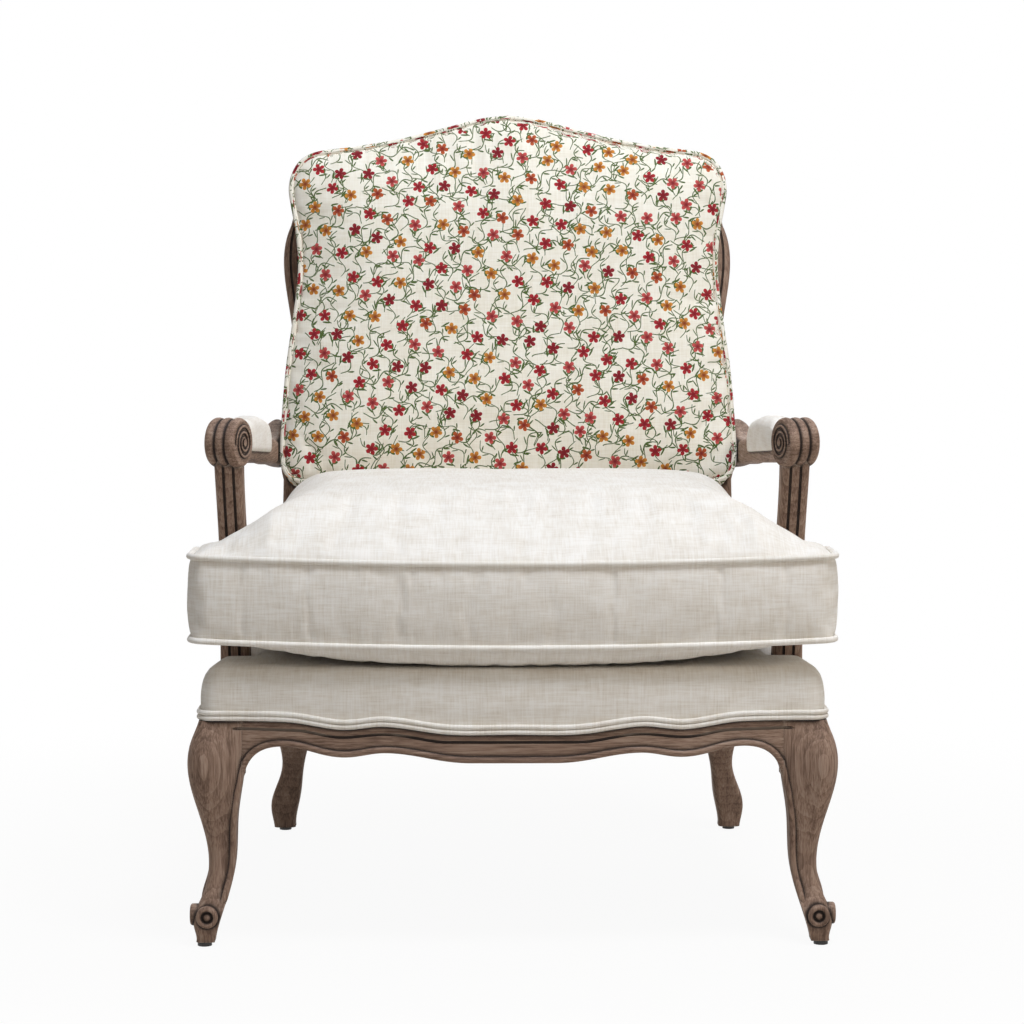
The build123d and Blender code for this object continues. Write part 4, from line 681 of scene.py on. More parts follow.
def swell(distance: Points, width: float | Points) -> Points:
    """A quarter round that rises from 0 at a seam to 1 at that width from it."""
    share = np.clip(distance / width, 0, 1)
    return np.sqrt(np.maximum(1 - (1 - share) ** 2, 0))


def ripple(along: Points, across: Points, seed: float) -> Points:
    """Seeded smooth noise from -1 to 1 over two coordinates."""
    return np.array([noise.noise(Vector((a, b, seed))) for a, b in zip(along, across)])


def coordinates(mesh: bpy.types.Mesh, what: str = "co") -> Points:
    """A mesh's points, or their normals with "normal"."""
    flat = np.empty(len(mesh.vertices) * 3)
    mesh.vertices.foreach_get(what, flat)
    return flat.reshape(-1, 3)


def move_points(mesh: bpy.types.Mesh, points: Points) -> None:
    """Puts a mesh's points in new places."""
    mesh.vertices.foreach_set("co", np.asarray(points, float).ravel())
    mesh.update()


def lay_print(mesh: bpy.types.Mesh, flat: Points) -> None:
    """Gives a mesh the print's UV map.

    Args:
        mesh: The mesh.
        flat: Each point's place on the flat cloth in millimetres.
    """
    layer = mesh.uv_layers.new(name="print")
    corner = np.empty(len(mesh.loops), dtype=int)
    mesh.loops.foreach_get("vertex_index", corner)
    layer.data.foreach_set("uv", (flat[corner] * MM).ravel())


def settled(made: Piece) -> bpy.types.Mesh:
    """A copy of the object's mesh as its modifiers leave it."""
    graph = bpy.context.evaluated_depsgraph_get()
    return bpy.data.meshes.new_from_object(made.evaluated_get(graph), depsgraph=graph)


def show(name: str, mesh: bpy.types.Mesh) -> Piece:
    """Puts a mesh in the scene, smooth-shaded.

    Args:
        name: The object's name.
        mesh: The mesh.

    Returns:
        The object.
    """
    mesh.polygons.foreach_set("use_smooth", [True] * len(mesh.polygons))
    mesh.update()
    made = bpy.data.objects.new(name, mesh)
    bpy.context.collection.objects.link(made)
    return made


def mesh_object(name: str, points: Points, faces: Faces) -> Piece:
    """Makes a mesh object.

    Args:
        name: The object's name.
        points: Its points in metres.
        faces: Its faces as point numbers.

    Returns:
        The object, in the scene.
    """
    mesh = bpy.data.meshes.new(name)
    mesh.from_pydata([tuple(map(float, p)) for p in points], [], [tuple(map(int, f)) for f in faces])
    return show(name, mesh)


def ring_faces(count: int, sides: int, closed: bool = False, turn: int = 0) -> Faces:
    """Joins rings of points into a tube, with a cap on each open end.

    Args:
        count: The rings.
        sides: The points in each.
        closed: Whether the last ring joins the first.
        turn: How many points the first ring is turned against the last.

    Returns:
        The faces as point numbers.
    """
    faces: Faces = []
    for i in range(count if closed else count - 1):
        here, there = i * sides, (i + 1) % count * sides
        shift = turn if i == count - 1 else 0
        for k in range(sides):
            after = (k + 1) % sides
            far = (there + (after + shift) % sides, there + (k + shift) % sides)
            faces.append((here + k, here + after, *far))
    if not closed:
        faces += [tuple(range(sides))[::-1], tuple(range((count - 1) * sides, count * sides))]
    return faces


def slab_faces(across: int, up: int) -> Faces:
    """Joins two layers of points, row by row, into a thin slab with a closed rim.

    Args:
        across: Faces in a row.
        up: Rows of faces.

    Returns:
        The faces as point numbers.
    """
    row, size = across + 1, (across + 1) * (up + 1)
    faces: Faces = []
    for j in range(up):
        for i in range(across):
            a = j * row + i
            faces.append((a, a + 1, a + 1 + row, a + row))
            faces.append((size + a + row, size + a + 1 + row, size + a + 1, size + a))
    rim = [*range(row), *(j * row + across for j in range(1, up + 1))]
    rim += [*(up * row + i for i in reversed(range(across))), *(j * row for j in reversed(range(1, up)))]
    return faces + [(b, a, a + size, b + size) for a, b in zip(rim, rim[1:] + rim[:1])]


def tube(name: str, path: Points, radius: float, closed: bool, sides: int = 12) -> Piece:
    """Makes a round cord along a line.

    Args:
        name: The object's name.
        path: The line's points in metres.
        radius: The cord's radius in millimetres.
        closed: Whether the line's end joins its start.
        sides: Points round the cord.

    Returns:
        The object.
    """
    ahead = np.roll(path, -1, axis=0) - np.roll(path, 1, axis=0)
    if not closed:
        ahead[0], ahead[-1] = path[1] - path[0], path[-1] - path[-2]
    ahead = unit(ahead)
    side = unit(np.cross(ahead[0], (0.31, 0.17, 0.93)))
    angles = np.linspace(0, 2 * math.pi, sides, endpoint=False)
    rings = []
    for point, way in zip(path, ahead):
        side = unit(side - way * (side @ way))
        round_it = np.cos(angles)[:, None] * side + np.sin(angles)[:, None] * np.cross(way, side)
        rings.append(point + radius * MM * round_it)
    # A closed cord's last ring is turned against its first, so it joins the nearest points.
    gaps = [rings[-1] - np.roll(rings[0], -k, axis=0) for k in range(sides)]
    turns = [np.linalg.norm(gap, axis=1).sum() for gap in gaps]
    faces = ring_faces(len(path), sides, closed, int(np.argmin(turns)))
    return mesh_object(name, np.vstack(rings), faces)


def dress(
    made: Piece,
    material: Material,
    body: Body,
    stands_for: Sequence[str] = (),
) -> None:
    """Gives a piece its material and its body, and hides the nodes it stands for.

    Args:
        made: The piece.
        material: Its material.
        body: The body it rides on.
        stands_for: The CAD nodes that it replaces.
    """
    if stands_for:
        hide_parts(*stands_for)
    made.data.materials.clear()
    made.data.materials.append(material)
    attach(made, body.value)
    LOG.info("%s: %d points, rides on %s", made.name, len(made.data.vertices), body.value)


def finer(made: Piece) -> None:
    """Adds one subdivision."""
    smooth = made.modifiers.new("finer", "SUBSURF")
    smooth.levels = smooth.render_levels = 1


class Block:
    """A block in even square faces over an outline, and where each of its points lies.

    Attributes:
        made: The object, in millimetres until it is shaped.
        points: The points before shaping.
        edge: Their distances from the outline.
        along: Their way along it.
        out: The outward directions there.
        upper: Whether each is on the top.
        under: Whether each is on the underside.
        wall: Whether each is on the sides.
        share: Their share of the block's height.
        seams: How fast the top's and the underside's seams hold them.
    """

    voxel: float = 6.0
    frames: int = 20

    def __init__(self, name: str, outline: Points, low: float, high: float, skin: float = 1.2) -> None:
        """Makes the block and sorts its points.

        Args:
            name: The object's name.
            outline: The outline's points in millimetres.
            low: The lower end.
            high: The upper end.
            skin: How near to an end a point still belongs to it.
        """
        count = len(outline)
        points = [(*p, z) for z in (low, high) for p in outline]
        faces = [tuple(range(count))[::-1], tuple(range(count, 2 * count))]
        faces += [(i, (i + 1) % count, count + (i + 1) % count, count + i) for i in range(count)]
        rough = mesh_object(name + "_block", np.array(points), faces)
        even = rough.modifiers.new("even", "REMESH")
        even.mode = "VOXEL"
        even.voxel_size = self.voxel
        mesh = settled(rough)
        bpy.data.objects.remove(rough)
        mesh.name = name
        self.made = show(name, mesh)
        self.points = coordinates(mesh)
        facing, z = coordinates(mesh, "normal")[:, 2], self.points[:, 2]
        self.edge, self.along, self.out = nearest_edge(self.points[:, :2], outline)
        self.upper = (facing > 0.5) | (z > high - skin)
        self.under = (facing < -0.5) | (z < low + skin)
        self.wall = ~self.upper & ~self.under
        self.share = np.clip((z - low) / (high - low), 0, 1)
        near = [np.clip(1.15 - np.abs(z - end) / 8, 0, 1) for end in (high, low)]
        self.seams = np.maximum(*near) * np.clip(1.3 - self.edge / 6, 0, 1)

    def puckers(self, steps: tuple[float, float], fade: float, seeds: tuple[float, float]) -> Points:
        """Small puckers along the seams.

        Args:
            steps: The coarse and the fine puckers' lengths.
            fade: How far from the seam they fade.
            seeds: A seed for each.

        Returns:
            Heights of about a millimetre.
        """
        coarse = ripple(self.along / steps[0], self.edge / 60, seeds[0])
        fine = ripple(self.along / steps[1], self.edge / 40, seeds[1])
        return (coarse + 0.6 * fine) * np.exp(-self.edge / fade) * np.minimum(self.edge / 5, 1)

    def bulged(self, bulge: Points) -> Points:
        """The points' two coordinates over the outline, moved outwards."""
        return self.points[:, :2] + self.out * bulge[:, None]

    def boxing(self, depth: Points) -> Points:
        """The same with the sides bulged by a depth halfway up."""
        return self.bulged(np.where(self.wall, np.sin(math.pi * self.share) * depth, 0))

    def inflate(self, held: Points, cap: Points) -> None:
        """Blows the shaped block up as cloth with its seams held, and keeps the result.

        Args:
            held: How fast each point is held, from 0 to 1.
            cap: The most that each point may move, in millimetres.
        """
        made = self.made
        start = coordinates(made.data)
        group = made.vertex_groups.new(name="seams")
        levels = np.round(held, 1)
        for level in np.unique(levels[levels > 0]):
            group.add(np.flatnonzero(levels == level).tolist(), float(level), "REPLACE")
        cloth = made.modifiers.new("cloth", "CLOTH")
        settings = {
            "quality": 4,
            "mass": 0.3,
            "tension_stiffness": 14,
            "compression_stiffness": 14,
            "shear_stiffness": 6,
            "bending_stiffness": 0.6,
            "use_pressure": True,
            "uniform_pressure_force": 4.0,
            "shrink_min": -0.012,
            "vertex_group_mass": "seams",
        }
        for name, value in settings.items():
            setattr(cloth.settings, name, value)
        cloth.settings.effector_weights.gravity = 0
        cloth.collision_settings.use_collision = False
        scene = bpy.context.scene
        for frame in range(1, self.frames + 1):
            scene.frame_set(frame)
        blown = settled(made)
        moved = coordinates(blown) - start
        bpy.data.meshes.remove(blown)
        made.modifiers.remove(cloth)
        made.vertex_groups.clear()
        scene.frame_set(1)
        far = np.linalg.norm(moved, axis=1) / MM
        eased = cap * np.tanh(far / cap) / np.maximum(far, 1e-6)
        move_points(made.data, start + moved * eased[:, None])


# Pieces


@dataclass
class SeatCushion:
    """The loose T-shaped seat cushion: two panels, a boxing strip and two self welts."""

    cloth: Material
    bottom: float = 329.7
    low_welt: float = 356.7
    high_welt: float = 454.7
    front: float = -26.0
    front_corner: float = -6.0
    ear_half: float = 378.0
    ear_back: float = 92.0
    neck_half: float = 313.0
    tail_half: float = 300.0
    tail_back: float = 610.0
    edge_rise: float = 64.0
    edge_width: float = 52.0
    front_roll: float = 165.0
    ear_share: float = 0.6
    ear_start: float = 285.0
    ear_end: float = 130.0
    ear_blend: float = 60.0
    dome: float = 18.0
    dome_half: float = 330.0
    dome_depth: float = 385.0
    dome_front: float = 411.0
    dome_fall: float = 215.0
    tuck_start: float = 445.0
    tuck_length: float = 150.0
    tuck_share: float = 0.8
    box_bulge: float = 2.0
    slack_share: float = 0.89
    loft: float = 9.0
    wall_loft: float = 3.5
    under_loft: float = 3.0
    welt_radius: float = 3.6
    welt_stand: float = 0.8
    ear_lift: float = 7.0
    lift_end: float = 190.0
    lift_fade: float = 110.0
    # The underside: how far it rounds down from its seam, and where the front part tapers.
    under_round: float = 62.0
    under_level: float = 120.0
    resting_edge: float = 55.0
    taper_end: float = 140.0
    taper_fade: float = 80.0
    taper_half: float = 335.0
    taper_most: float = 0.95

    def tilt(self, x: Points, depth: Points) -> Points:
        """How far the ears' welts rise above the middle's."""
        ahead = np.clip((self.lift_end - depth) / self.lift_fade, 0, 1)
        return self.ear_lift * (np.abs(x) / self.ear_half) ** 2 * ahead

    def outline(self) -> Points:
        """The T-shaped plan, as x and depth."""
        corners = []
        for x in np.linspace(-0.94, 0.94, 25) * self.ear_half:
            back = (self.front_corner - self.front) * (x / self.ear_half) ** 2
            corners.append((x, self.front + back, 0.0))
        side = [
            (self.ear_half, self.front_corner, 18.0),
            (self.ear_half, self.ear_back, 9.0),
            (self.neck_half, self.ear_back, 6.0),
            (self.tail_half, self.tail_back, 18.0),
        ]
        corners += side + [(-x, d, r) for x, d, r in reversed(side)]
        return evenly(round_corners(corners), 5.0)

    def rise(self, x: Points, depth: Points, edge: Points) -> Points:
        """The top panel's height above the upper welt.

        Args:
            x: Places across.
            depth: Places behind the front plane.
            edge: Distances from the seam.

        Returns:
            The heights.
        """
        outer = np.clip((np.abs(x) - self.ear_start) / self.ear_blend, 0, 1)
        ear = outer * np.clip((self.ear_end - depth) / self.ear_blend, 0, 1)
        share = 1 - (1 - self.ear_share) * ear
        rounded = swell(edge, self.edge_width * (1 + 1.3 * ear)) ** (1 + ear)
        shell = self.edge_rise * share * rounded * swell(depth - self.front, self.front_roll)
        away = depth - self.dome_depth
        reach = np.where(away > 0, self.dome_fall, self.dome_front)
        lengthwise = np.maximum(1 - (away / reach) ** 2, 0)
        crosswise = np.maximum(1 - (x / self.dome_half) ** 4, 0)
        tucked = np.clip((depth - self.tuck_start) / self.tuck_length, 0, 1)
        tucked = tucked**2 * (3 - 2 * tucked)
        return shell * (1 - self.tuck_share * tucked) + self.dome * lengthwise * crosswise

    def shape(self, block: Block) -> None:
        """Moves the block's points to the cushion's form, and into metres.

        Args:
            block: The block over the plan.
        """
        x, depth, z = block.points.T
        edge, tilt = block.edge, self.tilt(x, depth)
        # The simulation fills the cushion, so it starts lower.
        full = self.slack_share
        lift = full * self.rise(x, depth, edge) + 0.9 * block.puckers((26, 11), 22, (3.1, 7.7))
        height = np.where(block.upper, self.high_welt + lift, z) + tilt
        ahead = np.clip((self.taper_end - depth) / self.taper_fade, 0, 1)
        taper = 1 - ahead * np.minimum((np.abs(x) / self.taper_half) ** 3, self.taper_most)
        drop = (self.low_welt - self.bottom) * swell(edge, self.under_round) * taper
        drop = drop + tilt * swell(edge, self.under_level) * (1 - ahead)
        height = np.where(block.under & ~block.upper, self.low_welt + tilt - drop, height)
        crease = ripple(block.along / 34, z / 55, 1.3) + 0.5 * ripple(block.along / 90, z / 30, 5.2)
        flat = block.boxing(self.box_bulge + 1.1 * crease)
        move_points(block.made.data, place(np.column_stack((flat, height))))

    def build(self) -> None:
        """Makes the cushion and its welts."""
        outline = self.outline()
        block = Block("seat_cushion_linen", outline, self.low_welt, self.high_welt)
        self.shape(block)
        made = block.made
        resting = block.under & (block.edge > self.resting_edge)
        cap = np.where(block.under, self.under_loft, self.loft)
        block.inflate(np.maximum(block.seams, resting), np.where(block.wall, self.wall_loft, cap))
        points = coordinates(made.data)
        points[:, 2] = np.maximum(points[:, 2], self.bottom * MM)
        move_points(made.data, points)
        finer(made)
        dress(made, self.cloth, Body.SEAT, ("seat_cushion_core", "seat_cushion_cover"))
        line = moved_out(outline, outline.mean(axis=0), self.welt_stand)
        welts = (("low", self.low_welt, ()), ("high", self.high_welt, ("seat_cushion_welts",)))
        for name, z, node in welts:
            path = np.column_stack((line, z + self.tilt(*outline.T)))
            cord = tube(f"seat_welt_{name}", place(path), self.welt_radius, True)
            dress(cord, self.cloth, Body.SEAT, node)


@dataclass
class BackPlane:
    """The raked plane that the back cushion leans on."""

    depth: float = 628.0
    height: float = 505.0
    rake: float = math.radians(9.5)

    def at(self, points: Points) -> Points:
        """Takes places across, along the back and out from it to x, depth and height.

        Args:
            points: The places, three coordinates each.

        Returns:
            The same places as x, depth and height.
        """
        across, along, out = np.asarray(points, float).T
        depth = self.depth + along * math.sin(self.rake) - out * math.cos(self.rake)
        height = self.height + along * math.cos(self.rake) + out * math.sin(self.rake)
        return np.column_stack((across, depth, height))


@dataclass
class BackCushion:
    """The loose camel-topped back cushion in the printed linen."""

    cloth: Material
    plane: BackPlane
    rear: float = 2.0
    front: float = 102.0
    middle: float = 235.0
    crown: float = 24.0
    crown_width: float = 120.0
    box_bulge: float = 1.0
    loft: float = 11.0
    wall_loft: float = 2.0
    welt_radius: float = 3.8
    welt_stand: float = 0.6
    keys: tuple[tuple[float, float], ...] = (
        (277, -11), (296, -3), (304, 16), (303, 60), (297, 140), (287, 215), (281, 275),
        (284, 325), (291, 365), (294, 388), (290, 408), (279, 425), (259, 435), (215, 441),
        (150, 452), (85, 468), (35, 481), (0, 485),
    )

    def outline(self) -> Points:
        """The cushion's front shape, as places across and along the back."""
        right = smooth_line(self.keys)
        return evenly(np.vstack((right, right[::-1][1:] * (-1, 1))), 5.0)

    def shape(self, block: Block) -> Points:
        """Moves the block's points to the cushion's form, and into metres.

        Args:
            block: The block over the front shape.

        Returns:
            Each point's place on the flat cloth: on the panels as it lies, on the boxing round the edge.
        """
        n = block.points[:, 2]
        lift = self.crown * swell(block.edge, self.crown_width) ** 1.2
        lift = lift + block.puckers((24, 10), 20, (13.1, 17.7))
        crease = ripple(block.along / 34, n / 45, 11.3)
        flat = block.boxing(self.box_bulge + 0.8 * crease)
        local = np.column_stack((flat, np.where(block.upper, self.front + lift, n)))
        move_points(block.made.data, place(self.plane.at(local)))
        # The boxing's part of the print lies clear of the panels'.
        return np.where(block.wall[:, None], np.column_stack((block.along, n + 900)), flat)

    def build(self) -> None:
        """Makes the cushion and its welts."""
        outline = self.outline()
        block = Block("back_cushion_linen", outline, self.rear, self.front)
        flat = self.shape(block)
        made = block.made
        held = np.maximum(block.seams, block.under)
        block.inflate(held, np.where(block.wall, self.wall_loft, self.loft))
        lay_print(made.data, flat)
        finer(made)
        dress(made, self.cloth, Body.BACK, ("back_cushion_core", "back_cushion_cover"))
        line = moved_out(outline, (0, self.middle), self.welt_stand)
        rear = self.rear + self.welt_radius
        for name, n, node in (("rear", rear, ()), ("front", self.front, ("back_cushion_welts",))):
            path = self.plane.at(np.column_stack((line, np.full(len(line), n))))
            cord = tube(f"back_welt_{name}", place(path), self.welt_radius, True)
            number = np.arange(len(cord.data.vertices))
            sides = len(number) // len(line)
            strip = np.column_stack((number // sides * 5.0, number % sides * 2.0 + 1700))
            lay_print(cord.data, strip)
            dress(cord, self.cloth, Body.BACK, node)


@dataclass
class Deck:
    """The tight upholstered deck below the cushion, with a double welt along the show wood."""

    cloth: Material
    hidden_foot: float = 250.0
    ledge: float = 268.0
    top: float = 329.4
    edge_round: float = 18.0
    inset: float = 2.6
    bow: float = 18.0
    block_inner: float = 318.0
    block_outer: float = 369.0
    block_depth: float = 51.0
    rear_half: float = 311.0
    rear_depth: float = 620.0
    skirt: float = 665.0
    corner: float = 20.0
    welt_corner: float = 18.0
    support_notch: tuple[float, float, float] = (318.0, 135.0, 191.0)
    post_notch: tuple[float, float] = (268.0, 617.0)
    notch_margin: float = 6.0
    belly: float = 2.0
    belly_end: float = 600.0
    welt_radius: float = 3.0
    welt_gap: float = 6.1
    welt_rise: float = 3.2
    # The ledge's height in front by x, and along the side by depth.
    front_ledge: tuple[tuple[float, float], ...] = (
        (0, 254), (75, 254), (150, 263), (200, 259), (260, 267), (318, 268),
    )
    side_ledge: tuple[tuple[float, float], ...] = ((51, 268), (109, 267), (134, 265))
    rear_ledge: tuple[tuple[float, float], ...] = (
        (192, 259), (300, 259), (400, 259), (520, 262), (617, 268),
    )

    def side_at(self, depth: float, inset: float) -> float:
        """How far out the side is at a depth, that much inside the wood's face."""
        slope = (self.block_outer - self.rear_half) / (self.rear_depth - self.block_depth)
        return self.block_outer - max(depth - self.block_depth, 0) * slope - inset

    def front_at(self, x: float, inset: float) -> float:
        """The front face's depth at a place across, that much inside the wood's face."""
        return inset - self.bow * max(1 - (x / self.block_inner) ** 2, 0)

    def outline(self) -> Points:
        """The deck's plan, notched for the arm supports and the posts."""
        across = np.linspace(-self.block_inner, self.block_inner, 41)
        front = [(x, self.front_at(x, self.inset), 0.0) for x in across]
        out, near, far = self.support_notch
        post_x, post_depth = self.post_notch
        side = [
            (self.side_at(0, self.inset), self.inset, self.corner),
            (self.side_at(self.block_depth, self.inset), self.block_depth, 0.0),
            (self.side_at(near, self.inset), near, 2.0),
            (out, near, 2.0),
            (out, far, 2.0),
            (self.side_at(far, self.inset), far, 2.0),
            (self.side_at(post_depth, self.inset), post_depth, 2.0),
            (post_x, post_depth, 2.0),
            (post_x, self.skirt, 2.0),
        ]
        return evenly(round_corners(front + side + [(-x, d, r) for x, d, r in reversed(side)]), 4.0)

    def shape(self, block: Block) -> None:
        """Moves the block's points to the deck's form, and into metres.

        Args:
            block: The block over the plan.
        """
        x, depth, z = block.points.T
        fall = self.edge_round * (1 - swell(block.edge, self.edge_round * 1.2))
        shoulder = self.top - self.edge_round
        squeezed = self.hidden_foot + block.share * (shoulder - self.hidden_foot)
        height = np.where(block.upper, self.top - fall, squeezed)
        tug = ripple(block.along / 30, z / 70, 21.0) + 0.5 * ripple(block.along / 12, z / 60, 23.0)
        above = np.clip((height - self.ledge) / (shoulder - self.ledge), 0, 1)
        bulge = np.sin(math.pi * above) * (self.belly + 0.7 * tug)
        out, near, far = self.support_notch
        beside = np.abs(depth - (near + far) / 2) < (far - near) / 2 + self.notch_margin
        at_support = beside & (np.abs(x) > out - self.notch_margin / 2)
        bulge = np.where((depth < self.belly_end) & ~block.upper & ~at_support, bulge, 0)
        move_points(block.made.data, place(np.column_stack((block.bulged(bulge), height))))

    def welt_paths(self) -> list[Points]:
        """The lines of the double welt: one round the front, and one each side behind the arm support.

        Returns:
            The lines as x, depth and height of the wood's ledge.
        """
        proud = self.inset - self.welt_radius - 0.2
        half = [(x, self.front_at(x, proud), z) for x, z in smooth_line(self.front_ledge)]
        radius, edge = self.welt_corner, self.block_outer - proud
        for k in range(9):
            s, c = math.sin(math.pi / 2 * k / 8), math.cos(math.pi / 2 * k / 8)
            half.append((edge - radius + radius * s, proud + radius - radius * c, self.ledge))
        half += [(self.side_at(d, proud), d, z) for d, z in smooth_line(self.side_ledge)]
        right = np.array(half)
        whole = np.vstack((right[::-1] * (-1, 1, 1), right[1:]))
        behind = np.array([(self.side_at(d, proud), d, z) for d, z in smooth_line(self.rear_ledge)])
        return [evenly(p, 4.0, False) for p in (whole, behind, behind * (-1, 1, 1))]

    def build(self) -> None:
        """Makes the deck and its double welt."""
        block = Block("deck_linen", self.outline(), self.hidden_foot, self.top, 1.0)
        self.shape(block)
        finer(block.made)
        dress(block.made, self.cloth, Body.FRAME, ("deck_cover", "deck_pad"))
        for i, path in enumerate(self.welt_paths()):
            for k in range(2):
                line = path + (0, 0, self.welt_rise + k * self.welt_gap)
                cord = tube(f"deck_welt_{i}_{k}", place(line), self.welt_radius, False)
                node = () if i or k else ("deck_double_welt",)
                dress(cord, self.cloth, Body.FRAME, node)


@dataclass
class ArmPads:
    """The padded manchettes on the arms."""

    cloth: Material
    start: float = 165.0
    end: float = 415.0
    width: float = 44.0
    rise: float = 27.0
    wrap: float = 20.0
    arm_top: float = 16.0
    end_share: float = 0.05
    tacked_share: float = 0.45
    # Depth, x and height of the arm's middle line.
    arm: tuple[tuple[float, float, float], ...] = (
        (92, 339, 591), (150, 338, 578), (250, 333, 571), (350, 329, 563.7), (450, 327, 556.3),
    )
    # Shares along the pad, and the shares of the width and of the rise there.
    shares: tuple[float, ...] = (0, 0.12, 0.45, 0.82, 1)
    widths: tuple[float, ...] = (0.8, 0.95, 1.0, 0.95, 0.8)
    rises: tuple[float, ...] = (0.3, 0.8, 1.0, 0.85, 0.3)
    rings: int = 56
    sides: int = 34

    def pad(self, name: str, side: float) -> Piece:
        """Makes one pad.

        Args:
            name: The object's name.
            side: 1 for the right arm, -1 for the left.

        Returns:
            The pad.
        """
        depths, xs, zs = np.array(self.arm).T
        points = []
        for i in range(self.rings):
            share = 0.5 - 0.5 * math.cos(math.pi * i / (self.rings - 1))
            depth = self.start + (self.end - self.start) * share
            # The ends close in a quarter round.
            close = math.sqrt(1 - (1 - min(min(share, 1 - share) / self.end_share, 1)) ** 2)
            half = self.width / 2 * float(np.interp(share, self.shares, self.widths))
            half *= 0.62 + 0.38 * close
            rise = self.rise * float(np.interp(share, self.shares, self.rises))
            rise *= 0.15 + 0.85 * close
            wrap = self.wrap * (0.25 + 0.75 * close)
            x = float(np.interp(depth, depths, xs))
            z = float(np.interp(depth, depths, zs)) + self.arm_top
            for k in range(self.sides):
                angle = math.pi * k / (self.sides - 1)
                c, s = math.cos(angle), math.sin(angle)
                wobble = 0.5 * noise.noise(Vector((depth / 18, angle * 2, 31 * side)))
                # The lower third of each side runs down over the arm to where it is tacked.
                down = max(0.0, 1 - s / self.tacked_share)
                wide = math.copysign(abs(c) ** 0.6, c) * half * (1 - 0.12 * down**3)
                up = rise * max(0.0, (s - 0.2) / 0.8) ** 0.62 - wrap * down
                points.append((side * (x + wide), depth, z + up + wobble * s))
        faces = ring_faces(self.rings, self.sides)
        if side > 0:
            faces = [f[::-1] for f in faces]
        return mesh_object(name, place(np.array(points)), faces)

    def build(self) -> None:
        """Makes both pads."""
        for name, side in (("right", 1.0), ("left", -1.0)):
            made = self.pad(f"arm_pad_linen_{name}", side)
            finer(made)
            dress(made, self.cloth, Body.FRAME, (f"arm_pad_{name}",))


@dataclass
class BackPanels:
    """The upholstered inside and outside of the back, stretched between posts, crest and stay rail."""

    cloth: Material
    plane: BackPlane
    half: float = 279.0
    foot: float = -14.0
    hollow: float = 13.0
    hollow_at: float = 178.0
    hollow_half: float = 95.0
    narrowing: float = 0.16
    narrowing_from: float = 305.0
    # How far out of the back plane the hidden side and the shown side's edge are, and the belly.
    inside: tuple[float, float, float] = (-14.0, -3.0, 1.2)
    outside: tuple[float, float, float] = (-23.0, -27.0, -4.5)
    across: int = 48
    up: int = 42

    def top(self, share: float) -> float:
        """How far up the back the panel reaches, at a share of its half width, just inside the crest."""
        shares, heights = (0.0, 0.3, 0.6, 0.85, 1.0), (426.0, 417.0, 398.0, 376.0, 352.0)
        return float(np.interp(abs(share), shares, heights))

    def waist(self, along: float) -> float:
        """The half width at a height along the back, just inside the posts' wood."""
        hollow = self.hollow * math.exp(-(((along - self.hollow_at) / self.hollow_half) ** 2))
        return self.half - hollow - self.narrowing * max(0.0, along - self.narrowing_from)

    def panel(self, name: str, hidden: float, shown: float, belly: float) -> Piece:
        """Makes one panel as a thin stuffed sheet with a soft belly.

        Args:
            name: The object's name.
            hidden: How far out of the back plane its hidden side is.
            shown: The same of its shown side's edge.
            belly: How far the shown side stands out in its middle.

        Returns:
            The panel.
        """
        points = []
        for out, rise in ((shown, belly), (hidden, 0.0)):
            for j in range(self.up + 1):
                v = j / self.up
                for i in range(self.across + 1):
                    u = 2 * i / self.across - 1
                    along = self.foot + (self.top(u) - self.foot) * v
                    dome = (1 - u**4) * (1 - (2 * v - 1) ** 4)
                    tug = 0.5 * noise.noise(Vector((u * 6, v * 9, 41.0))) * dome
                    points.append((u * self.waist(along), along, out + rise * dome + tug * (rise != 0)))
        faces = slab_faces(self.across, self.up)
        if shown < hidden:
            faces = [f[::-1] for f in faces]
        return mesh_object(name, place(self.plane.at(np.array(points))), faces)

    def build(self) -> None:
        """Makes both panels."""
        for name, sizes in (("inside", self.inside), ("outside", self.outside)):
            made = self.panel(f"{name}_back_linen", *sizes)
            dress(made, self.cloth, Body.FRAME, (f"{name}_back_panel",))


@dataclass
class DustCover:
    """The black cloth tacked under the seat, with a slight sag."""

    cloth: Material
    node: Piece
    sag: float = 3.5
    fold: float = 0.8
    thickness: float = 0.8
    rear_half: float = 268.0
    rear_share: float = 0.6
    band: float = 60.0
    across: int = 40

    def build(self) -> None:
        """Makes the sheet in its node's box."""
        low, high = (np.array(c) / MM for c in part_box("dust_cover"))
        rim = coordinates(self.node.data) / MM
        points = []
        count = self.across
        for layer in range(2):
            for j in range(count + 1):
                y = low[1] + (high[1] - low[1]) * j / count
                band = rim[np.abs(rim[:, 1] - y) < self.band]
                half = float(np.abs(band[:, 0]).max()) if len(band) else high[0]
                half = min(half, high[0] - (high[0] - self.rear_half) * j / count * self.rear_share)
                for i in range(count + 1):
                    u, v = 2 * i / count - 1, 2 * j / count - 1
                    drop = self.sag * (1 - u**2) * (1 - v**2)
                    crease = noise.noise(Vector((u * 5, v * 4, 51.0))) * (1 - u**4) * (1 - v**4)
                    drop += self.fold * crease + layer * self.thickness
                    points.append((u * half, y, high[2] - drop))
        made = mesh_object("dust_cloth_sheet", np.array(points) * MM, slab_faces(count, count))
        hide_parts("dust_cover")
        dress(made, self.cloth, Body.FRAME)


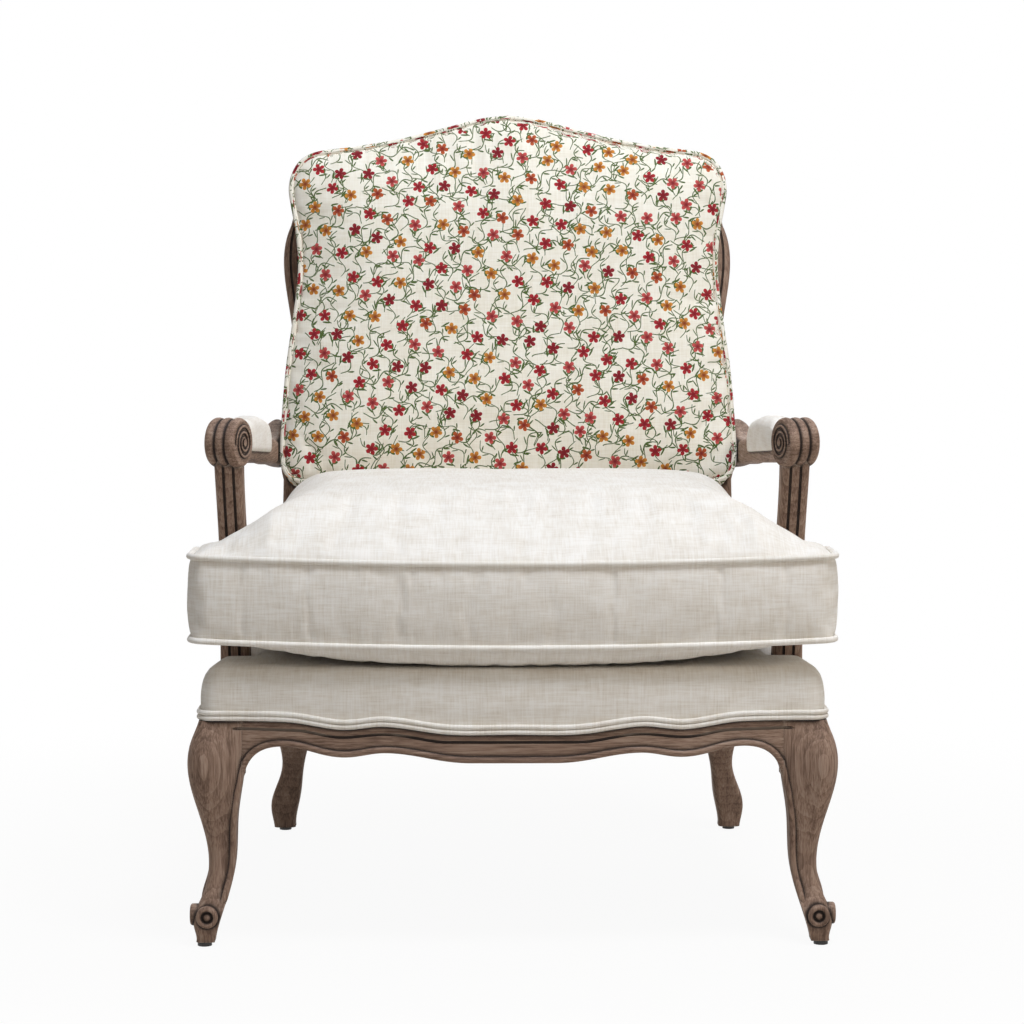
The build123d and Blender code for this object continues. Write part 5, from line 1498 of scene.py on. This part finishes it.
@dataclass
class Woodwork:
    """The show wood and the hidden pieces that keep their CAD form."""

    nodes: dict[str, Piece]
    along_x: tuple[str, ...] = ("front_rail", "back_rail", "stay_rail", "crest_rail")
    along_y: tuple[str, ...] = ("side_rail_left", "side_rail_right", "arm_left", "arm_right")
    along_z: tuple[str, ...] = (
        "front_leg_left", "front_leg_right", "back_post_left", "back_post_right",
        "arm_support_left", "arm_support_right",
    )
    beech: tuple[str, ...] = ("rail_dowels", "back_dowels", "arm_dowels", "corner_blocks")
    steel: tuple[str, ...] = ("corner_block_screws",)
    glides: tuple[str, ...] = ("foot_glides",)
    webbing: tuple[str, ...] = ("seat_webbing_lengthwise", "seat_webbing_crosswise", "back_webbing")
    hessian: tuple[str, ...] = ("seat_hessian",)

    def build(self) -> None:
        """Gives each carried-over node its material."""
        oak = LimedOak()
        # Planed beech is pale and half matt, with fine fibres.
        beech = PlainFinish("planed_beech", "#c9a27c", "#b58a63", 2.0, 0.6, stretch=(1, 8, 1))
        # Zinc plate is a grey metal with a fine, dull mottle.
        zinc = PlainFinish("zinc_plated_steel", "#b9bcbd", "#9a9d9e", 1.0, 0.35, metallic=1.0)
        # Moulded nylon is nearly black, with a soft gloss.
        nylon = PlainFinish("moulded_nylon", "#2b2724", "#211e1c", 1.5, 0.5)
        # Woven jute is brown, coarse and matt, with darker hollows between its threads.
        jute = PlainFinish("jute_webbing_cloth", "#a98b62", "#8c7048", 2.5, 0.9, relief=0.4)
        # Hessian is a paler, finer jute cloth, as matt.
        sacking = PlainFinish("hessian_cloth", "#b39a70", "#94794f", 2.0, 0.9, relief=0.4)
        finishes = [
            (self.along_x, oak.build(Grain.ALONG_X)),
            (self.along_y, oak.build(Grain.ALONG_Y)),
            (self.along_z, oak.build(Grain.ALONG_Z)),
            (self.beech, beech.build()),
            (self.steel, zinc.build()),
            (self.glides, nylon.build()),
            (self.webbing, jute.build()),
            (self.hessian, sacking.build()),
        ]
        for names, material in finishes:
            for name in names:
                slots = self.nodes[name].data.materials
                slots.clear()
                slots.append(material)
                LOG.info("%s: %s", name, material.name)


@dataclass
class Stage:
    """A pale floor, soft light and the photograph's camera."""

    distance: float = 3288.0
    aside: float = -40.6
    height: float = 795.7
    focal: float = 2831.0
    image: float = 1024.0
    sensor: float = 36.0
    pitch: float = 4.905
    turn: float = 0.682
    floor_size: float = 30.0
    room: float = 0.25
    aim: tuple[float, float, float] = (0.0, 0.0, 0.45)
    # Name, place and side in metres, power in watts and colour of each soft box.
    lamps: tuple[tuple[str, tuple[float, float, float], float, float, str], ...] = (
        ("key_above", (0.6, -1.2, 3.5), 1.1, 92.0, "#eff5ff"),
        ("fill_right", (2.6, -2.4, 1.7), 1.4, 21.0, "#fff0dc"),
        ("fill_left", (-2.8, -1.8, 1.4), 2.0, 1.5, "#fff0dc"),
        ("behind", (0.4, 3.0, 2.4), 2.0, 26.0, "#ffffff"),
    )

    def camera(self) -> None:
        """Adds the camera where the photograph was taken, its focal length in the image's pixels."""
        data = bpy.data.cameras.new("camera")
        data.sensor_width = self.sensor
        data.lens = self.sensor * self.focal / self.image
        data.clip_end = 100.0
        camera = bpy.data.objects.new("camera", data)
        camera.location = place(np.array((self.aside, -self.distance, self.height)))
        angles = (math.radians(90 - self.pitch), 0.0, math.radians(-self.turn))
        camera.rotation_euler = Euler(angles, "XYZ")
        bpy.context.collection.objects.link(camera)
        bpy.context.scene.camera = camera

    def floor(self) -> None:
        """Adds the floor, white to the camera but for the chair's shadow."""
        half = self.floor_size / 2
        corners = np.array([(-half, -half, 0), (half, -half, 0), (half, half, 0), (-half, half, 0)])
        floor = mesh_object("floor", corners, [(0, 1, 2, 3)])
        material, tree = new_material("painted_floor")
        links = {"Base Color": linear("#cfcac3"), "Roughness": 0.9, "Specular IOR Level": 0.0}
        paint = add(tree, "BsdfPrincipled", links)
        rays = add(tree, "LightPath").outputs
        seen = {0: rays["Is Camera Ray"], 1: rays["Is Glossy Ray"]}
        far = add(tree, "VectorMath", {0: add(tree, "TexCoord").outputs["Object"]}, operation="LENGTH")
        nearby = {0: far, 1: 0.4, 2: 1.5, 3: 0.94, 4: 1.0}
        glowing = add(tree, "MapRange", nearby, interpolation_type="SMOOTHSTEP")
        either = add(tree, "Math", seen, operation="MAXIMUM")
        share = add(tree, "Math", {0: either, 1: glowing}, operation="MULTIPLY")
        glow = add(tree, "Emission", {0: (1, 1, 1, 1), 1: 1.0})
        add(tree, "OutputMaterial", {0: add(tree, "MixShader", {0: share, 1: paint, 2: glow})})
        floor.data.materials.append(material)

    def world(self) -> None:
        """Adds a soft white room light, seen as white."""
        world = bpy.data.worlds.new("studio")
        bpy.context.scene.world = world
        world.use_nodes = True
        tree = world.node_tree
        tree.nodes.clear()
        rays = add(tree, "LightPath").outputs
        seen: Any = rays["Is Camera Ray"]
        for name in ("Is Glossy Ray", "Is Transmission Ray"):
            seen = add(tree, "Math", {0: seen, 1: rays[name]}, operation="MAXIMUM")
        level = add(tree, "MapRange", {0: seen, 3: self.room, 4: 1.0})
        add(tree, "OutputWorld", {0: add(tree, "Background", {0: (1, 1, 1, 1), 1: level})})

    def build(self) -> None:
        """Adds everything that isn't the chair, with each soft box turned to the chair."""
        self.camera()
        self.floor()
        self.world()
        for name, at, size, power, tint in self.lamps:
            data = bpy.data.lights.new(name, "AREA")
            data.color = linear(tint)[:3]
            data.size = size
            data.energy = power
            lamp = bpy.data.objects.new(name, data)
            lamp.location = at
            lamp.rotation_euler = (Vector(self.aim) - Vector(at)).to_track_quat("-Z", "Y").to_euler()
            bpy.context.collection.objects.link(lamp)
        bpy.context.scene.view_settings.view_transform = "Standard"


def main() -> None:
    """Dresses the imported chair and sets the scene."""
    logging.basicConfig(level=logging.INFO, format="%(name)s: %(message)s")
    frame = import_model()
    linen = Linen("cream_linen_cloth", thread="#e5ded3", slub="#cfc5b6", light="#f1ede6").build()
    printed = PrintedLinen(
        "printed_linen_cloth", thread="#ece6d6", slub="#ddd5c2", light="#f5f1e5"
    ).build()
    # Spun dust cloth is nearly black and quite matt.
    dust = PlainFinish("spun_dust_cloth", "#2a2a2b", "#1f1f20", 1.2, 0.95, relief=0.3).build()
    plane = BackPlane()
    Woodwork(frame["nodes"]).build()
    SeatCushion(linen).build()
    BackCushion(printed, plane).build()
    Deck(linen).build()
    ArmPads(linen).build()
    BackPanels(linen, plane).build()
    DustCover(dust, frame["nodes"]["dust_cover"]).build()
    Stage().build()


if __name__ == "__main__":
    main()
